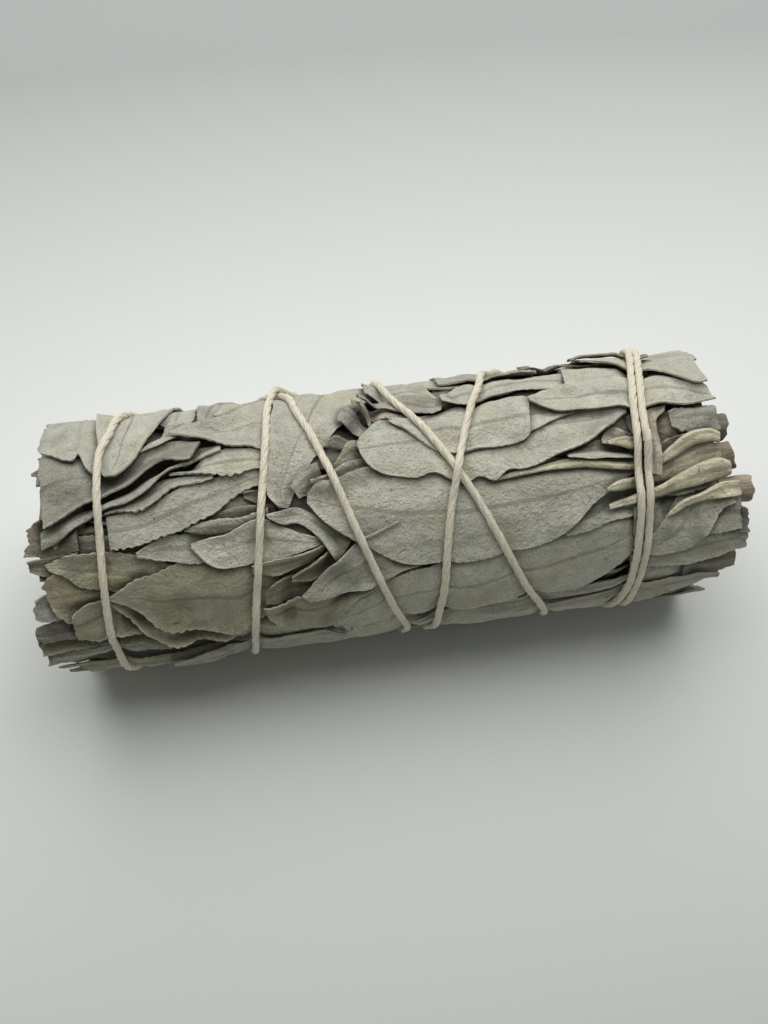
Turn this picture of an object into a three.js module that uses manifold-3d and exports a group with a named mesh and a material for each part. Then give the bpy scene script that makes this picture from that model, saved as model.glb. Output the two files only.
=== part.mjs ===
// A bunch of dried sage leaves on their cut stems, bound into a roll with one length of cotton string.
// Units are millimetres and degrees. X runs along the roll, with the cut stems at +X, and +Z is up.
// The roll lies on the surface at Z = 0, with its origin under the middle of it.
//
// A place on the roll is (x, angle): the angle goes round the X axis from 0 on top, through 90 at the
// front (-Y), to 180 underneath and -90 at the back. Leaves are laid one after another, and each is
// draped over what already lies there.

import * as THREE from "three";
import { mergeVertices } from "three/addons/utils/BufferGeometryUtils.js";
import Module from "manifold-3d";

const wasm = await Module();
wasm.setup();

// Driving dimensions

const AXIS_HEIGHT = 18.2; // of the roll's axis above the surface
const WRAP_RADIUS = 17.6; // at which widths round the roll are measured
const OUTER_RADIUS = 18.5; // that the outer leaves reach
const WAIST = 1.3; // how much less that is under the string
const FLOOR_ROOM = 2; // height that the leaves underneath leave for the string and the pressed leaves
const CORE_RADIUS = 16; // of the packed inner leaves, at the most
const CORE_LEAST = 11.5;
const SETTLING_ROUNDS = 5;
const CORE_LEFT = -45.5;
const CORE_RIGHT = 44.5;
const CORE_FLOOR = 3.1; // height of the core's flattened underside
const LEAF_THICKNESS = 0.65;
const GAP = 0.32; // between pieces that touch
const SUNK = 1.1; // depth to which an inner leaf is grown into the core
const STALK = { thickness: 1.1 };
const TOOTH = 0.22; // how far the waves of a leaf's edge go in and out
const STRING_RADIUS = 0.65;
const END_BLADE_THICKNESS = 0.8;
const SEED = 11;

const rad = THREE.MathUtils.degToRad;
const deg = THREE.MathUtils.radToDeg;
const clamp = THREE.MathUtils.clamp;
const mmPerDegree = rad(WRAP_RADIUS);

function seededRandom(seed) {
  let state = seed;
  return () => {
    state = (state * 1664525 + 1013904223) % 4294967296;
    return state / 4294967296;
  };
}

// Outlines of leaves: half the width as a share of the widest, at equal steps from the first end to the last

const outlines = {
  whole: [0.08, 0.66, 1, 0.86, 0.1],
  lance: [0.15, 0.85, 0.95, 0.58, 0.08],
  blunt: [0.08, 0.66, 1, 1, 0.34],
  stub: [0.35, 0.8, 1, 1, 0.8],
  cut: [0.9, 1, 1, 0.72, 0.1],
  fan: [0.42, 0.55, 0.76, 0.95, 1],
  strip: [0.75, 1, 1, 1, 0.7],
  wedge: [1, 0.98, 0.76, 0.45, 0.06],
  taper: [1, 0.9, 0.62, 0.45, 0.15],
  pad: [0.5, 0.95, 1, 0.95, 0.5],
};

// Leaves of the side that shows, lowest first: where each starts and ends, how far its middle line bows
// to its left hand, and its width on its left and right hand, going from the first end to the last.

const leaves = [
  { name: "leaf_bottom_1", from: [-4, 106], to: [-46, 107], bow: 0, width: [5, 5.4], outline: "whole" },
  { name: "leaf_bottom_2", from: [44, 99], to: [2, 99], bow: 0.5, width: [4.6, 5], outline: "whole" },
  { name: "leaf_left_1", from: [-26, 99], to: [-49.5, 95], bow: 0, width: [2.6, 3], outline: "blunt" },
  { name: "leaf_left_2", from: [-25, 90], to: [-50, 84], bow: -0.5, width: [2.6, 2.6], outline: "blunt" },
  { name: "leaf_right_1", from: [49, 94], to: [29, 93], bow: 0, width: [3.6, 3.8], outline: "cut" },
  { name: "leaf_right_2", from: [50, 76], to: [30, 79], bow: 0, width: [3.4, 3.2], outline: "cut" },
  { name: "leaf_low_long", from: [38, 54], to: [-10, 86], bow: -1.2, width: [5, 5.3], outline: "whole" },
  { name: "leaf_right_4", from: [47, 57], to: [31, 65], bow: 0, width: [3, 3], outline: "whole" },
  { name: "leaf_torn_brown", from: [-7, 81], to: [-21, 77], bow: 0, width: [2.5, 4], outline: "whole" },
  { name: "leaf_pale_edged", from: [-20, 77], to: [-43, 60], bow: -1, width: [4, 5.6], outline: "whole" },
  { name: "leaf_round_olive", from: [-18, 64], to: [-41, 57], bow: -1.2, width: [4.9, 5.6], outline: "blunt" },
  { name: "leaf_pointed", from: [-10.5, 45], to: [-29, 41], bow: 0, width: [2.9, 2.7], outline: "whole" },
  { name: "leaf_long_smooth", from: [-14, 8], to: [-41, 31], bow: -0.4, width: [2.5, 2.7], outline: "stub" },
  { name: "leaf_wavy_1", from: [-29, 12], to: [-42, 24], bow: 0, width: [1.5, 1.5], outline: "strip" },
  { name: "leaf_wavy_2", from: [-15, 3], to: [-28.5, 7], bow: 0, width: [2.3, 2.2], outline: "whole" },
  { name: "leaf_fold_left", from: [-29, 5], to: [-49.5, 33], bow: 1, width: [1.2, 1.2], outline: "strip" },
  { name: "leaf_left_5", from: [-26, -3], to: [-50, 9], bow: 0, width: [4.5, 5.2], outline: "fan" },
  { name: "leaf_top_1", from: [-8, -18], to: [-29.5, -17], bow: 0, width: [4.5, 5], outline: "whole" },
  { name: "leaf_top_2", from: [10, -22], to: [-4, -24], bow: 0, width: [2.4, 2.6], outline: "blunt" },
  { name: "leaf_top_3", from: [28, -22], to: [9, -19], bow: 0, width: [2.6, 2.2], outline: "stub" },
  { name: "leaf_fold_middle", from: [-6, 50], to: [-18.5, 31], bow: 1.9, width: [1.5, 1.6], outline: "strip" },
  { name: "leaf_wedge", from: [4, 46], to: [-15, 70], bow: 0, width: [3.6, 3.6], outline: "wedge" },
  { name: "leaf_corner_top_left", from: [-44, -80], to: [-46, -4], bow: 0, width: [3.8, 4], outline: "blunt" },
  { name: "leaf_hanging_left", from: [-35, -85], to: [-38.7, 7], bow: 0, width: [5, 5], outline: "blunt" },
  { name: "leaf_hanging_middle", from: [-3, -68], to: [-16, 29.5], bow: 0, width: [5.8, 6.4], outline: "lance" },
  { name: "leaf_broad", from: [35, 37], to: [-13, 26], bow: -3.9, width: [5.8, 5.8], outline: "whole" },
  { name: "leaf_middle", from: [36, 0], to: [-5, 5], bow: -1.3, width: [4.8, 5.6], outline: "blunt" },
  { name: "leaf_upper", from: [25, -2], to: [-1.5, -9], bow: -2, width: [3.6, 3.9], outline: "whole" },
  { name: "leaf_right_6", from: [47, -20], to: [27, -22], bow: 0, width: [3.5, 3], outline: "stub" },
  { name: "leaf_right_7", from: [48.5, -3], to: [21, -9], bow: -0.5, width: [2.8, 2.5], outline: "stub" },
  { name: "leaf_corner_top_right", from: [48.5, -28], to: [27, -60], bow: 0, width: [7, 6.5], outline: "cut" },
];

// Pale leaf stalks and folded strips that show by the cut end, laid with the leaves but narrow and thick

const stalks = [
  { name: "stalk_1", from: [33, 27], to: [13, 27], bow: 1.2, width: [1, 1], outline: "taper" },
  { name: "stalk_2", from: [47, 19], to: [38, 26], bow: 1.2, width: [0.9, 1], outline: "strip" },
  { name: "stalk_3", from: [47.5, 29], to: [37, 33], bow: 0.4, width: [1, 1], outline: "strip" },
  { name: "stalk_4", from: [48, 36], to: [37, 42], bow: 0.4, width: [1, 1], outline: "strip" },
];

// Leaves of the side that doesn't show, in rows along the roll

const backRows = [
  { angle: -48, shift: -2 },
  { angle: -78, shift: 5 },
  { angle: -105, shift: -6 },
  { angle: -132, shift: 3 },
];
const BACK_LEAF = { length: 54, halfWidth: 6.1, perRow: 2 };

const floorLeaves = [
  { name: "leaf_floor_1", from: [-0.5, 179], to: [-48, 180], bow: 0, width: [6, 6], outline: "whole" },
  { name: "leaf_floor_2", from: [47.5, 181], to: [1, 182], bow: 0, width: [5.8, 6], outline: "cut" },
  { name: "leaf_floor_3", from: [47, 134], to: [6, 132], bow: 0, width: [5.5, 6], outline: "cut" },
  { name: "leaf_floor_4", from: [4, 132], to: [-48, 136], bow: 0, width: [5.5, 6], outline: "whole" },
].map((leaf) => ({ ...leaf, coarse: 1.3 }));

// Leaves pressed flat underneath, one in each space between two turns of the string

const pads = [
  { name: "leaf_under_1", from: [-39.8, 181], to: [-49.3, 179] },
  { name: "leaf_under_2", from: [-4.2, 179], to: [-21.5, 181] },
  { name: "leaf_under_3", from: [20.6, 181], to: [6, 179] },
  { name: "leaf_under_4", from: [48.2, 180], to: [39, 180] },
];
const PAD_HALF_WIDTH = 6;

// Woody stems: how far out from the axis and where round it, their radius, and where they are cut

const stems = [
  { name: "stem_1", out: 12.9, angle: 7, radius: 1.9, end: 49.4 },
  { name: "stem_2", out: 13, angle: 27, radius: 2, end: 50 },
  { name: "stem_3", out: 13.2, angle: 49, radius: 1.8, end: 51.2 },
  { name: "stem_4", out: 8, angle: 100, radius: 1.6, end: 49 },
  { name: "stem_5", out: 7.2, angle: -70, radius: 2.1, end: 49.6 },
  { name: "stem_6", out: 9, angle: 190, radius: 1.8, end: 48.8 },
];
const STEM_START = 12; // where the stems end inside the roll
const STEM_SIDES = 10;

// The string's way: one piece, wound seven times round. The angle only goes down, a turn every 360.

const stringWay = [
  [36.6, 17], [36.9, 0], [38.1, -20], [39.9, -45], [39.9, -75], [39.8, -105], [38, -128], [32, -152],
  [26.5, -175], [23.8, -200],
  [21.6, -240], [20.4, -260], [17.3, -280], [11.7, -320], [5.3, -360], [2, -380], [0, -405], [-0.6, -450],
  [-1.2, -510], [-0.8, -560], [0.3, -610], [-2.2, -640], [-6.4, -680], [-10.3, -720], [-12.3, -740],
  [-14, -765], [-21, -800], [-29, -835], [-34.5, -870], [-38, -910], [-40.6, -970], [-41.5, -1000],
  [-41, -1040], [-40.3, -1080], [-39, -1100], [-37.6, -1125], [-34, -1160], [-29.3, -1195], [-26, -1230],
  [-24, -1270], [-22.5, -1330], [-21.6, -1360], [-19.5, -1400], [-17.3, -1440], [-15.2, -1485],
  [-8, -1520], [-1, -1555], [2, -1590], [3.2, -1640], [4.2, -1695], [5.2, -1720], [7, -1760],
  [11.2, -1800], [14, -1820], [17, -1845], [22.5, -1875], [27, -1900], [29.2, -1925], [30.6, -1990],
  [32.2, -2055], [32.9, -2080], [33.7, -2120], [34.6, -2160], [36, -2180], [38, -2205], [37.8, -2235],
  [37.4, -2260], [36.6, -2300], [36.2, -2350], [35.1, -2415], [35.2, -2440], [35.6, -2480], [36.1, -2498],
];

// The relief: how far out from the axis the roll already reaches, on a grid of places

const GRID_X = 0.36;
const GRID_ANGLE = 1;
const GRID_LEFT = -53;
const GRID_COLUMNS = 296;
const GRID_ROWS = 360 / GRID_ANGLE;
const relief = new Float32Array(GRID_COLUMNS * GRID_ROWS);

const column = (x) => clamp(Math.round((x - GRID_LEFT) / GRID_X), 0, GRID_COLUMNS - 1);
const row = (angle) => (((Math.round(angle / GRID_ANGLE) % GRID_ROWS) + GRID_ROWS) % GRID_ROWS);

function highest(x, angle, reachX, reachAngle) {
  let most = 0;
  for (let i = column(x - reachX); i <= column(x + reachX); i++)
    for (let a = angle - reachAngle; a <= angle + reachAngle + 1e-6; a += GRID_ANGLE)
      most = Math.max(most, relief[i * GRID_ROWS + row(a)]);
  return most;
}

function raise(x, angle, radius) {
  for (let i = column(x - GRID_X); i <= column(x + GRID_X); i++)
    for (const a of [angle - GRID_ANGLE, angle, angle + GRID_ANGLE]) {
      const cell = i * GRID_ROWS + row(a);
      relief[cell] = Math.max(relief[cell], radius);
    }
}

// The distance from the axis to the surface that the roll lies on, or infinity where it is far off
function floorRadius(angle) {
  const down = -Math.cos(rad(angle));
  return down > 0.7 ? AXIS_HEIGHT / down : Infinity;
}

const onRoll = (x, angle, radius) =>
  new THREE.Vector3(x, -radius * Math.sin(rad(angle)), AXIS_HEIGHT + radius * Math.cos(rad(angle)));

// Solids

function solidOf(geometry) {
  geometry.deleteAttribute("normal");
  geometry.deleteAttribute("uv");
  const merged = mergeVertices(geometry, 1e-4);
  return new wasm.Manifold(
    new wasm.Mesh({
      numProp: 3,
      vertProperties: merged.attributes.position.array,
      triVerts: new Uint32Array(merged.index.array),
    }),
  );
}

function geometryOf(solid) {
  const made = solid.getMesh();
  return new THREE.BufferGeometry()
    .setAttribute("position", new THREE.BufferAttribute(made.vertProperties, 3))
    .setIndex(new THREE.BufferAttribute(made.triVerts, 1));
}

// A closed slab between two grids of points, the outer one and the inner one, each [step][across]
function slab(outer, inner) {
  const steps = outer.length - 1;
  const across = outer[0].length - 1;
  const points = [...outer.flat(), ...inner.flat()];
  const innerStart = points.length / 2;
  const at = (i, j) => i * (across + 1) + j;
  const index = [];
  const quad = (a, b, c, d) => index.push(a, b, c, a, c, d);
  for (let i = 0; i < steps; i++)
    for (let j = 0; j < across; j++) {
      quad(at(i, j), at(i + 1, j), at(i + 1, j + 1), at(i, j + 1));
      const [a, b, c, d] = [at(i, j), at(i, j + 1), at(i + 1, j + 1), at(i + 1, j)].map((k) => k + innerStart);
      index.push(a, b, c, a, c, d);
    }
  const rim = [];
  for (let i = 0; i < steps; i++) rim.push([at(i, 0), at(i + 1, 0)]);
  for (let j = 0; j < across; j++) rim.push([at(steps, j), at(steps, j + 1)]);
  for (let i = steps; i > 0; i--) rim.push([at(i, across), at(i - 1, across)]);
  for (let j = across; j > 0; j--) rim.push([at(0, j), at(0, j - 1)]);
  for (const [a, b] of rim) quad(b, a, a + innerStart, b + innerStart);
  return new THREE.BufferGeometry().setFromPoints(points).setIndex(index);
}

// Leaves

// The places of a leaf's grid points: steps from its first end to its last, and points across
function leafPlaces({ from, to, bow, width, outline, coarse = 1 }) {
  const start = new THREE.Vector2(from[0], from[1] * mmPerDegree);
  const run = new THREE.Vector2(to[0], to[1] * mmPerDegree).sub(start);
  const length = run.length();
  const leftHand = new THREE.Vector2(run.y, -run.x).divideScalar(-length);
  const steps = clamp(Math.round(length / (3.1 * coarse)), 4, 16);
  const across = clamp(Math.round((width[0] + width[1]) / (2.9 * coarse)), 2, 5);
  const profile = new THREE.SplineCurve(
    outlines[outline].map((share, i) => new THREE.Vector2(i, share)),
  );
  const places = [];
  for (let i = 0; i <= steps; i++) {
    const u = i / steps;
    const share = profile.getPoint(u).y;
    const middle = start.clone().addScaledVector(run, u).addScaledVector(leftHand, bow * 4 * u * (1 - u));
    const wave = i % 2 ? TOOTH : -TOOTH;
    const line = [];
    for (let j = 0; j <= across; j++) {
      const v = 1 - (2 * j) / across;
      const edge = j === 0 || j === across ? Math.sign(v) * wave * share : 0;
      const reach = v * share * (v > 0 ? width[0] : width[1]) + edge;
      const place = middle.clone().addScaledVector(leftHand, reach);
      line.push([place.x, place.y / mmPerDegree]);
    }
    places.push(line);
  }
  return places;
}

// Sample places inside the grid cell (i, j), with the weights of its four corners. A cell is two triangles.
function* cellSamples(places, i, j, count) {
  const corners = [places[i][j], places[i + 1][j], places[i + 1][j + 1], places[i][j + 1]];
  for (let p = 0; p <= count; p++)
    for (let q = 0; q <= count; q++) {
      const [s, t] = [p / count, q / count];
      const weights = s > t ? [1 - s, s - t, t, 0] : [1 - t, 0, s, t - s];
      const x = weights.reduce((sum, w, k) => sum + w * corners[k][0], 0);
      const angle = weights.reduce((sum, w, k) => sum + w * corners[k][1], 0);
      yield { x, angle, weights };
    }
}

// The leaf's inner radius at each grid point, just clear of everything below the whole of each cell.
// A corner is raised only as far as the cells round it ask, and never above the highest place in them.
function drape(places, passes = 40) {
  const radii = places.map((line) => line.map(([x, angle]) => relief[column(x) * GRID_ROWS + row(angle)]));
  const tops = places.map((line) => line.map(() => 0));
  const corners = [[0, 0], [1, 0], [1, 1], [0, 1]];
  const samples = [];
  for (let i = 0; i < places.length - 1; i++)
    for (let j = 0; j < places[0].length - 1; j++)
      for (const { x, angle, weights } of cellSamples(places, i, j, 8)) {
        const needed = relief[column(x) * GRID_ROWS + row(angle)];
        samples.push({ i, j, weights, needed });
        for (const [di, dj] of corners) tops[i + di][j + dj] = Math.max(tops[i + di][j + dj], needed);
      }
  for (let pass = 0; pass < passes; pass++)
    for (const { i, j, weights, needed } of samples) {
      const here = corners.reduce((sum, [di, dj], k) => sum + weights[k] * radii[i + di][j + dj], 0);
      if (needed - here < 0.01) continue;
      const share = weights.reduce((sum, w) => sum + w * w, 0);
      corners.forEach(([di, dj], k) => {
        const raised = radii[i + di][j + dj] + ((needed - here) * weights[k]) / share;
        radii[i + di][j + dj] = Math.min(tops[i + di][j + dj], raised);
      });
    }
  return radii;
}

const chordDrop = (places) => {
  const spread = Math.max(...places.map((line) => Math.abs(line[0][1] - line[1][1])));
  const stride = Math.max(...places.slice(1).map((line, i) => Math.abs(line[0][1] - places[i][0][1])));
  return WRAP_RADIUS * (1 - Math.cos(rad(Math.max(spread, stride) / 2)));
};

// Lays a leaf on the roll, marks the relief with it, and returns its slab. A sunk leaf grows from the core.
function layLeaf(leaf, { sunk = 0, thickness = LEAF_THICKNESS, pressed = false } = {}) {
  const places = leafPlaces(leaf);
  const clear = sunk ? 0 : GAP + chordDrop(places);
  const rest = drape(places).map((line) => line.map((radius) => radius + clear));
  const top = rest.map((line, i) =>
    line.map((radius, j) => {
      const floor = floorRadius(places[i][j][1]);
      const out = radius + thickness;
      return pressed && floor < out + 1.9 ? floor : Math.min(out, floor);
    }),
  );
  for (let i = 0; i < places.length - 1; i++)
    for (let j = 0; j < places[0].length - 1; j++) {
      const tops = [top[i][j], top[i + 1][j], top[i + 1][j + 1], top[i][j + 1]];
      for (const { x, angle, weights } of cellSamples(places, i, j, 8))
        raise(x, angle, weights.reduce((sum, w, k) => sum + w * tops[k], 0));
    }
  const points = (radii, inwards) =>
    places.map((line, i) => line.map(([x, angle], j) => onRoll(x, angle, radii[i][j] - inwards)));
  return slab(points(top, 0), points(rest, sunk));
}

// The core: inner leaves packed round the stems, which give way under the leaves and the string over them

const give = new Float32Array(GRID_COLUMNS * GRID_ROWS);

function coreRadius(x, angle) {
  const folds = 0.3 * Math.sin(rad(angle * 7 + x * 3)) + 0.2 * Math.sin(rad(angle * 11 - x * 5));
  const down = -Math.cos(rad(angle));
  const flat = down > 0.7 ? (AXIS_HEIGHT - CORE_FLOOR) / down : Infinity;
  const pressedIn = give[column(x) * GRID_ROWS + row(angle)];
  return Math.max(CORE_LEAST, Math.min(CORE_RADIUS + folds, flat) - pressedIn);
}

// A field with each cell joined with its neighbours, along the roll and then round it
function spreadField(field, reach, join) {
  const cell = (i, k) => clamp(i, 0, GRID_COLUMNS - 1) * GRID_ROWS + ((k + GRID_ROWS) % GRID_ROWS);
  const pass = (from, neighbour) => {
    const to = new Float32Array(from.length);
    for (let i = 0; i < GRID_COLUMNS; i++)
      for (let k = 0; k < GRID_ROWS; k++) {
        const near = [];
        for (let d = -reach; d <= reach; d++) near.push(from[neighbour(i, k, d)]);
        to[cell(i, k)] = join(near);
      }
    return to;
  };
  return pass(pass(field, (i, k, d) => cell(i + d, k)), (i, k, d) => cell(i, k + d));
}

const average = (values) => values.reduce((sum, value) => sum + value, 0) / values.length;
const greatest = (values) => Math.max(...values);

// How far out the leaves may reach: less under the string, and clear of the surface underneath
function roomField(way) {
  const waist = new Float32Array(relief.length);
  for (const [x, angle] of way)
    for (let side = -1.5; side <= 1.5; side += GRID_X) waist[column(x + side) * GRID_ROWS + row(angle)] = WAIST;
  const soft = spreadField(waist, 2, average);
  return soft.map((depth, cell) => {
    const down = -Math.cos(rad((cell % GRID_ROWS) * GRID_ANGLE));
    const flat = down > 0.7 ? (AXIS_HEIGHT - FLOOR_ROOM) / down : Infinity;
    return Math.min(OUTER_RADIUS - depth, flat);
  });
}

// Lays the leaves a few times over: where they pile up too high, the core gives way
function settle(pile, room) {
  for (let round = 0; round < SETTLING_ROUNDS; round++) {
    markCore();
    for (const { leaf, options } of pile) layLeaf(leaf, options);
    const excess = relief.map((radius, cell) => radius - room[cell]);
    const proud = spreadField(spreadField(excess, 7, greatest), 8, average);
    proud.forEach((high, cell) => {
      give[cell] = clamp(give[cell] + 0.8 * high, 0, CORE_RADIUS - CORE_LEAST);
    });
  }
}

function coreBody() {
  const stations = 15;
  const around = 42;
  const ring = (x) =>
    Array.from({ length: around }, (_, k) => {
      const angle = (360 * k) / around;
      return onRoll(x, angle, coreRadius(x, angle));
    });
  const points = [];
  for (let i = 0; i <= stations; i++)
    points.push(...ring(CORE_LEFT + ((CORE_RIGHT - CORE_LEFT) * i) / stations));
  const leftHub = points.push(onRoll(CORE_LEFT, 0, 0)) - 1;
  const rightHub = points.push(onRoll(CORE_RIGHT, 0, 0)) - 1;
  const index = [];
  for (let k = 0; k < around; k++) {
    const next = (k + 1) % around;
    for (let i = 0; i < stations; i++) {
      const [a, b] = [i * around + k, i * around + next];
      index.push(a, b, b + around, a, b + around, a + around);
    }
    const last = stations * around;
    index.push(leftHub, next, k, rightHub, last + k, last + next);
  }
  return solidOf(new THREE.BufferGeometry().setFromPoints(points).setIndex(index));
}

// The ends of the packed leaves, seen edge on: wavy arcs that stand out of each end of the core
function endBlade(x0, x1, radius, angle, sweep, wave) {
  const steps = Math.max(3, Math.round((rad(sweep) * radius) / 3));
  const line = (inwards) =>
    Array.from({ length: steps + 1 }, (_, i) => {
      const a = angle + (sweep * i) / steps;
      const r = radius + wave * Math.sin(rad(i * 97)) - inwards;
      return [onRoll(x0, a, r), onRoll(x1, a, r)];
    });
  const made = solidOf(slab(line(0), line(END_BLADE_THICKNESS)));
  return made.volume() < 0 ? solidOf(slab(line(END_BLADE_THICKNESS), line(0))) : made;
}

function endBlades() {
  const random = seededRandom(SEED);
  const blades = [];
  for (const [face, out] of [[CORE_LEFT, -1], [CORE_RIGHT, 1]])
    for (const radius of [3.4, 6.4, 9.4, 12.2, 14.6]) {
      const count = Math.max(2, Math.round(radius / 2.6));
      for (let k = 0; k < count; k++) {
        const sweep = (360 / count) * (0.62 + 0.2 * random());
        const angle = (360 * (k + random() * 0.4)) / count + radius * 31;
        const stands = 1.2 + 2.2 * random();
        const lowest = Math.min(radius, coreRadius(face, angle + sweep / 2) - 0.8);
        blades.push(endBlade(face - out, face + out * stands, lowest, angle, sweep, 0.35));
      }
    }
  return blades;
}

// Leaves that show only in the gaps between the outer ones, grown into the core

const innerLeaves = [
  { from: [-16, 20], to: [-27, 25], bow: 0, width: [1.6, 1.6], outline: "whole" },
  { from: [-17, 36], to: [-29, 31], bow: 0, width: [1.5, 1.4], outline: "whole" },
  { from: [-21, 40], to: [-36, 41], bow: 0, width: [2.2, 2.2], outline: "whole" },
  { from: [-37, 58], to: [-49, 56], bow: 0, width: [3, 3.2], outline: "stub" },
  { from: [-12, 62], to: [-21, 67], bow: 0, width: [2, 2], outline: "whole" },
  { from: [-1, -2], to: [-8, -12], bow: 0, width: [1.4, 1.4], outline: "whole" },
  { from: [-3, 6], to: [-11, 12], bow: 0, width: [1.5, 1.5], outline: "wedge" },
  { from: [-3, 15], to: [-12, 20], bow: 0, width: [1.5, 1.6], outline: "wedge" },
  { from: [36, 20], to: [24, 19], bow: 0, width: [1.5, 1.5], outline: "whole" },
  { from: [38, 42], to: [24, 50], bow: 0, width: [2, 2], outline: "whole" },
  { from: [34, 88], to: [14, 88], bow: 0, width: [2, 2], outline: "whole" },
  { from: [-27, -24], to: [-35, -9], bow: 0, width: [1.5, 1.5], outline: "whole" },
  { from: [-32, 80], to: [-48, 69], bow: 0, width: [2.6, 3.2], outline: "stub" },
  { from: [-30, 50], to: [-49, 46], bow: 0.3, width: [2.4, 3], outline: "stub" },
  { from: [47.5, 12], to: [31, 14], bow: 0, width: [2.2, 2.2], outline: "cut" },
  { from: [49, 52], to: [33, 57], bow: 0, width: [2.2, 2.2], outline: "cut" },
];

function stemBar({ out, angle, radius }, from, to) {
  const bar = new THREE.CylinderGeometry(radius, radius, to - from, STEM_SIDES);
  bar.rotateZ(-Math.PI / 2);
  const centre = onRoll((from + to) / 2, angle, out);
  bar.translate(centre.x, centre.y, centre.z);
  return bar;
}

function markStem({ out, angle, radius, end }) {
  const half = deg(Math.asin(radius / out));
  for (let x = STEM_START; x <= end; x += GRID_X)
    for (let a = -half; a <= half; a += GRID_ANGLE / 2) {
      const side = out * Math.sin(rad(a));
      raise(x, angle + a, out * Math.cos(rad(a)) + Math.sqrt(Math.max(0, radius ** 2 - side ** 2)));
    }
}

// The relief takes the highest of the core's places a few millimetres round, as the solid has flat facets
function markCore() {
  for (let i = 0; i < GRID_COLUMNS; i++)
    for (let k = 0; k < GRID_ROWS; k++) {
      const x = clamp(GRID_LEFT + i * GRID_X, CORE_LEFT, CORE_RIGHT);
      const near = [-2, 0, 2].flatMap((dx) => [-4, 0, 4].map((da) => coreRadius(x + dx, k * GRID_ANGLE + da)));
      relief[i * GRID_ROWS + k] = Math.max(...near);
    }
  for (const stem of stems) if (stem.out > 11) markStem(stem);
}

function makeCore() {
  markCore();
  let core = coreBody();
  for (const leaf of innerLeaves) {
    const made = solidOf(layLeaf(leaf, { sunk: SUNK }));
    core = core.add(made);
  }
  for (const blade of endBlades()) core = core.add(blade);
  for (const { out, angle, radius } of stems) {
    const hole = solidOf(stemBar({ out, angle, radius: radius + GAP }, STEM_START - GAP, 60));
    core = core.subtract(hole);
  }
  const pieces = core.decompose().sort((a, b) => b.volume() - a.volume());
  return geometryOf(pieces[0]);
}

// The string: it rides over everything, itself included where it crosses

const STRING_STEP = 0.8; // between the places at which its height is found
const STRING_SMOOTH = 2; // steps either side over which its height is evened out

function stringPlaces() {
  const way = new THREE.CatmullRomCurve3(
    stringWay.map(([x, angle]) => new THREE.Vector3(x, angle * mmPerDegree, 0)),
    false,
    "catmullrom",
    0.5,
  );
  way.arcLengthDivisions = 4000;
  const count = Math.round(way.getLength() / STRING_STEP);
  return way.getSpacedPoints(count).map((p) => [p.x, p.y / mmPerDegree]);
}

function windString() {
  const places = stringPlaces();
  const behind = 45; // steps after which a turn is marked, so that it doesn't climb on its own tail
  const radii = [];
  places.forEach(([x, angle], i) => {
    const below = highest(x, angle, STRING_RADIUS + 0.1, 3);
    radii.push(below + GAP + 0.12 + STRING_RADIUS);
    if (i >= behind) {
      const [px, pa] = places[i - behind];
      for (const side of [-0.35, 0, 0.35]) raise(px + side, pa, radii[i - behind] + STRING_RADIUS + 0.2);
    }
  });
  const around = (i) => radii.slice(Math.max(0, i - STRING_SMOOTH), i + STRING_SMOOTH + 1);
  const tallest = radii.map((_, i) => Math.max(...around(i)));
  const even = tallest.map((_, i) => {
    const near = tallest.slice(Math.max(0, i - STRING_SMOOTH), i + STRING_SMOOTH + 1);
    return near.reduce((sum, r) => sum + r, 0) / near.length;
  });
  const limit = (angle) => floorRadius(angle) - (STRING_RADIUS + 0.12) / Math.max(0.7, -Math.cos(rad(angle)));
  const points = places.map(([x, angle], i) => onRoll(x, angle, Math.min(even[i], limit(angle))));
  const line = new THREE.CatmullRomCurve3(points.filter((_, i) => i % 3 === 0), false, "centripetal");
  const section = new THREE.Shape(
    Array.from({ length: 6 }, (_, k) => {
      const turn = rad(60 * k);
      return new THREE.Vector2(STRING_RADIUS * Math.cos(turn), STRING_RADIUS * Math.sin(turn));
    }),
  );
  line.arcLengthDivisions = 2000;
  const steps = Math.round(line.getLength() / 4.2);
  return new THREE.ExtrudeGeometry(section, { steps, extrudePath: line, bevelEnabled: false });
}

// Materials

const sage = (lightness) =>
  new THREE.MeshStandardMaterial({
    color: new THREE.Color().setHSL(0.2, 0.09, lightness),
    roughness: 0.95,
  });
const leafTints = [0.6, 0.64, 0.57, 0.62].map(sage);
const innerMaterial = new THREE.MeshStandardMaterial({ color: 0x6f685b, roughness: 1 });
const stalkMaterial = new THREE.MeshStandardMaterial({ color: 0xb5ad8c, roughness: 0.9 });
const woodMaterial = new THREE.MeshStandardMaterial({ color: 0x857762, roughness: 0.9 });
const cottonMaterial = new THREE.MeshStandardMaterial({ color: 0xd9d4c2, roughness: 0.95 });

// The bunch

const bunch = new THREE.Group();

function addPiece(name, geometry, material) {
  const mesh = new THREE.Mesh(geometry, material);
  mesh.name = name;
  bunch.add(mesh);
}

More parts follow.
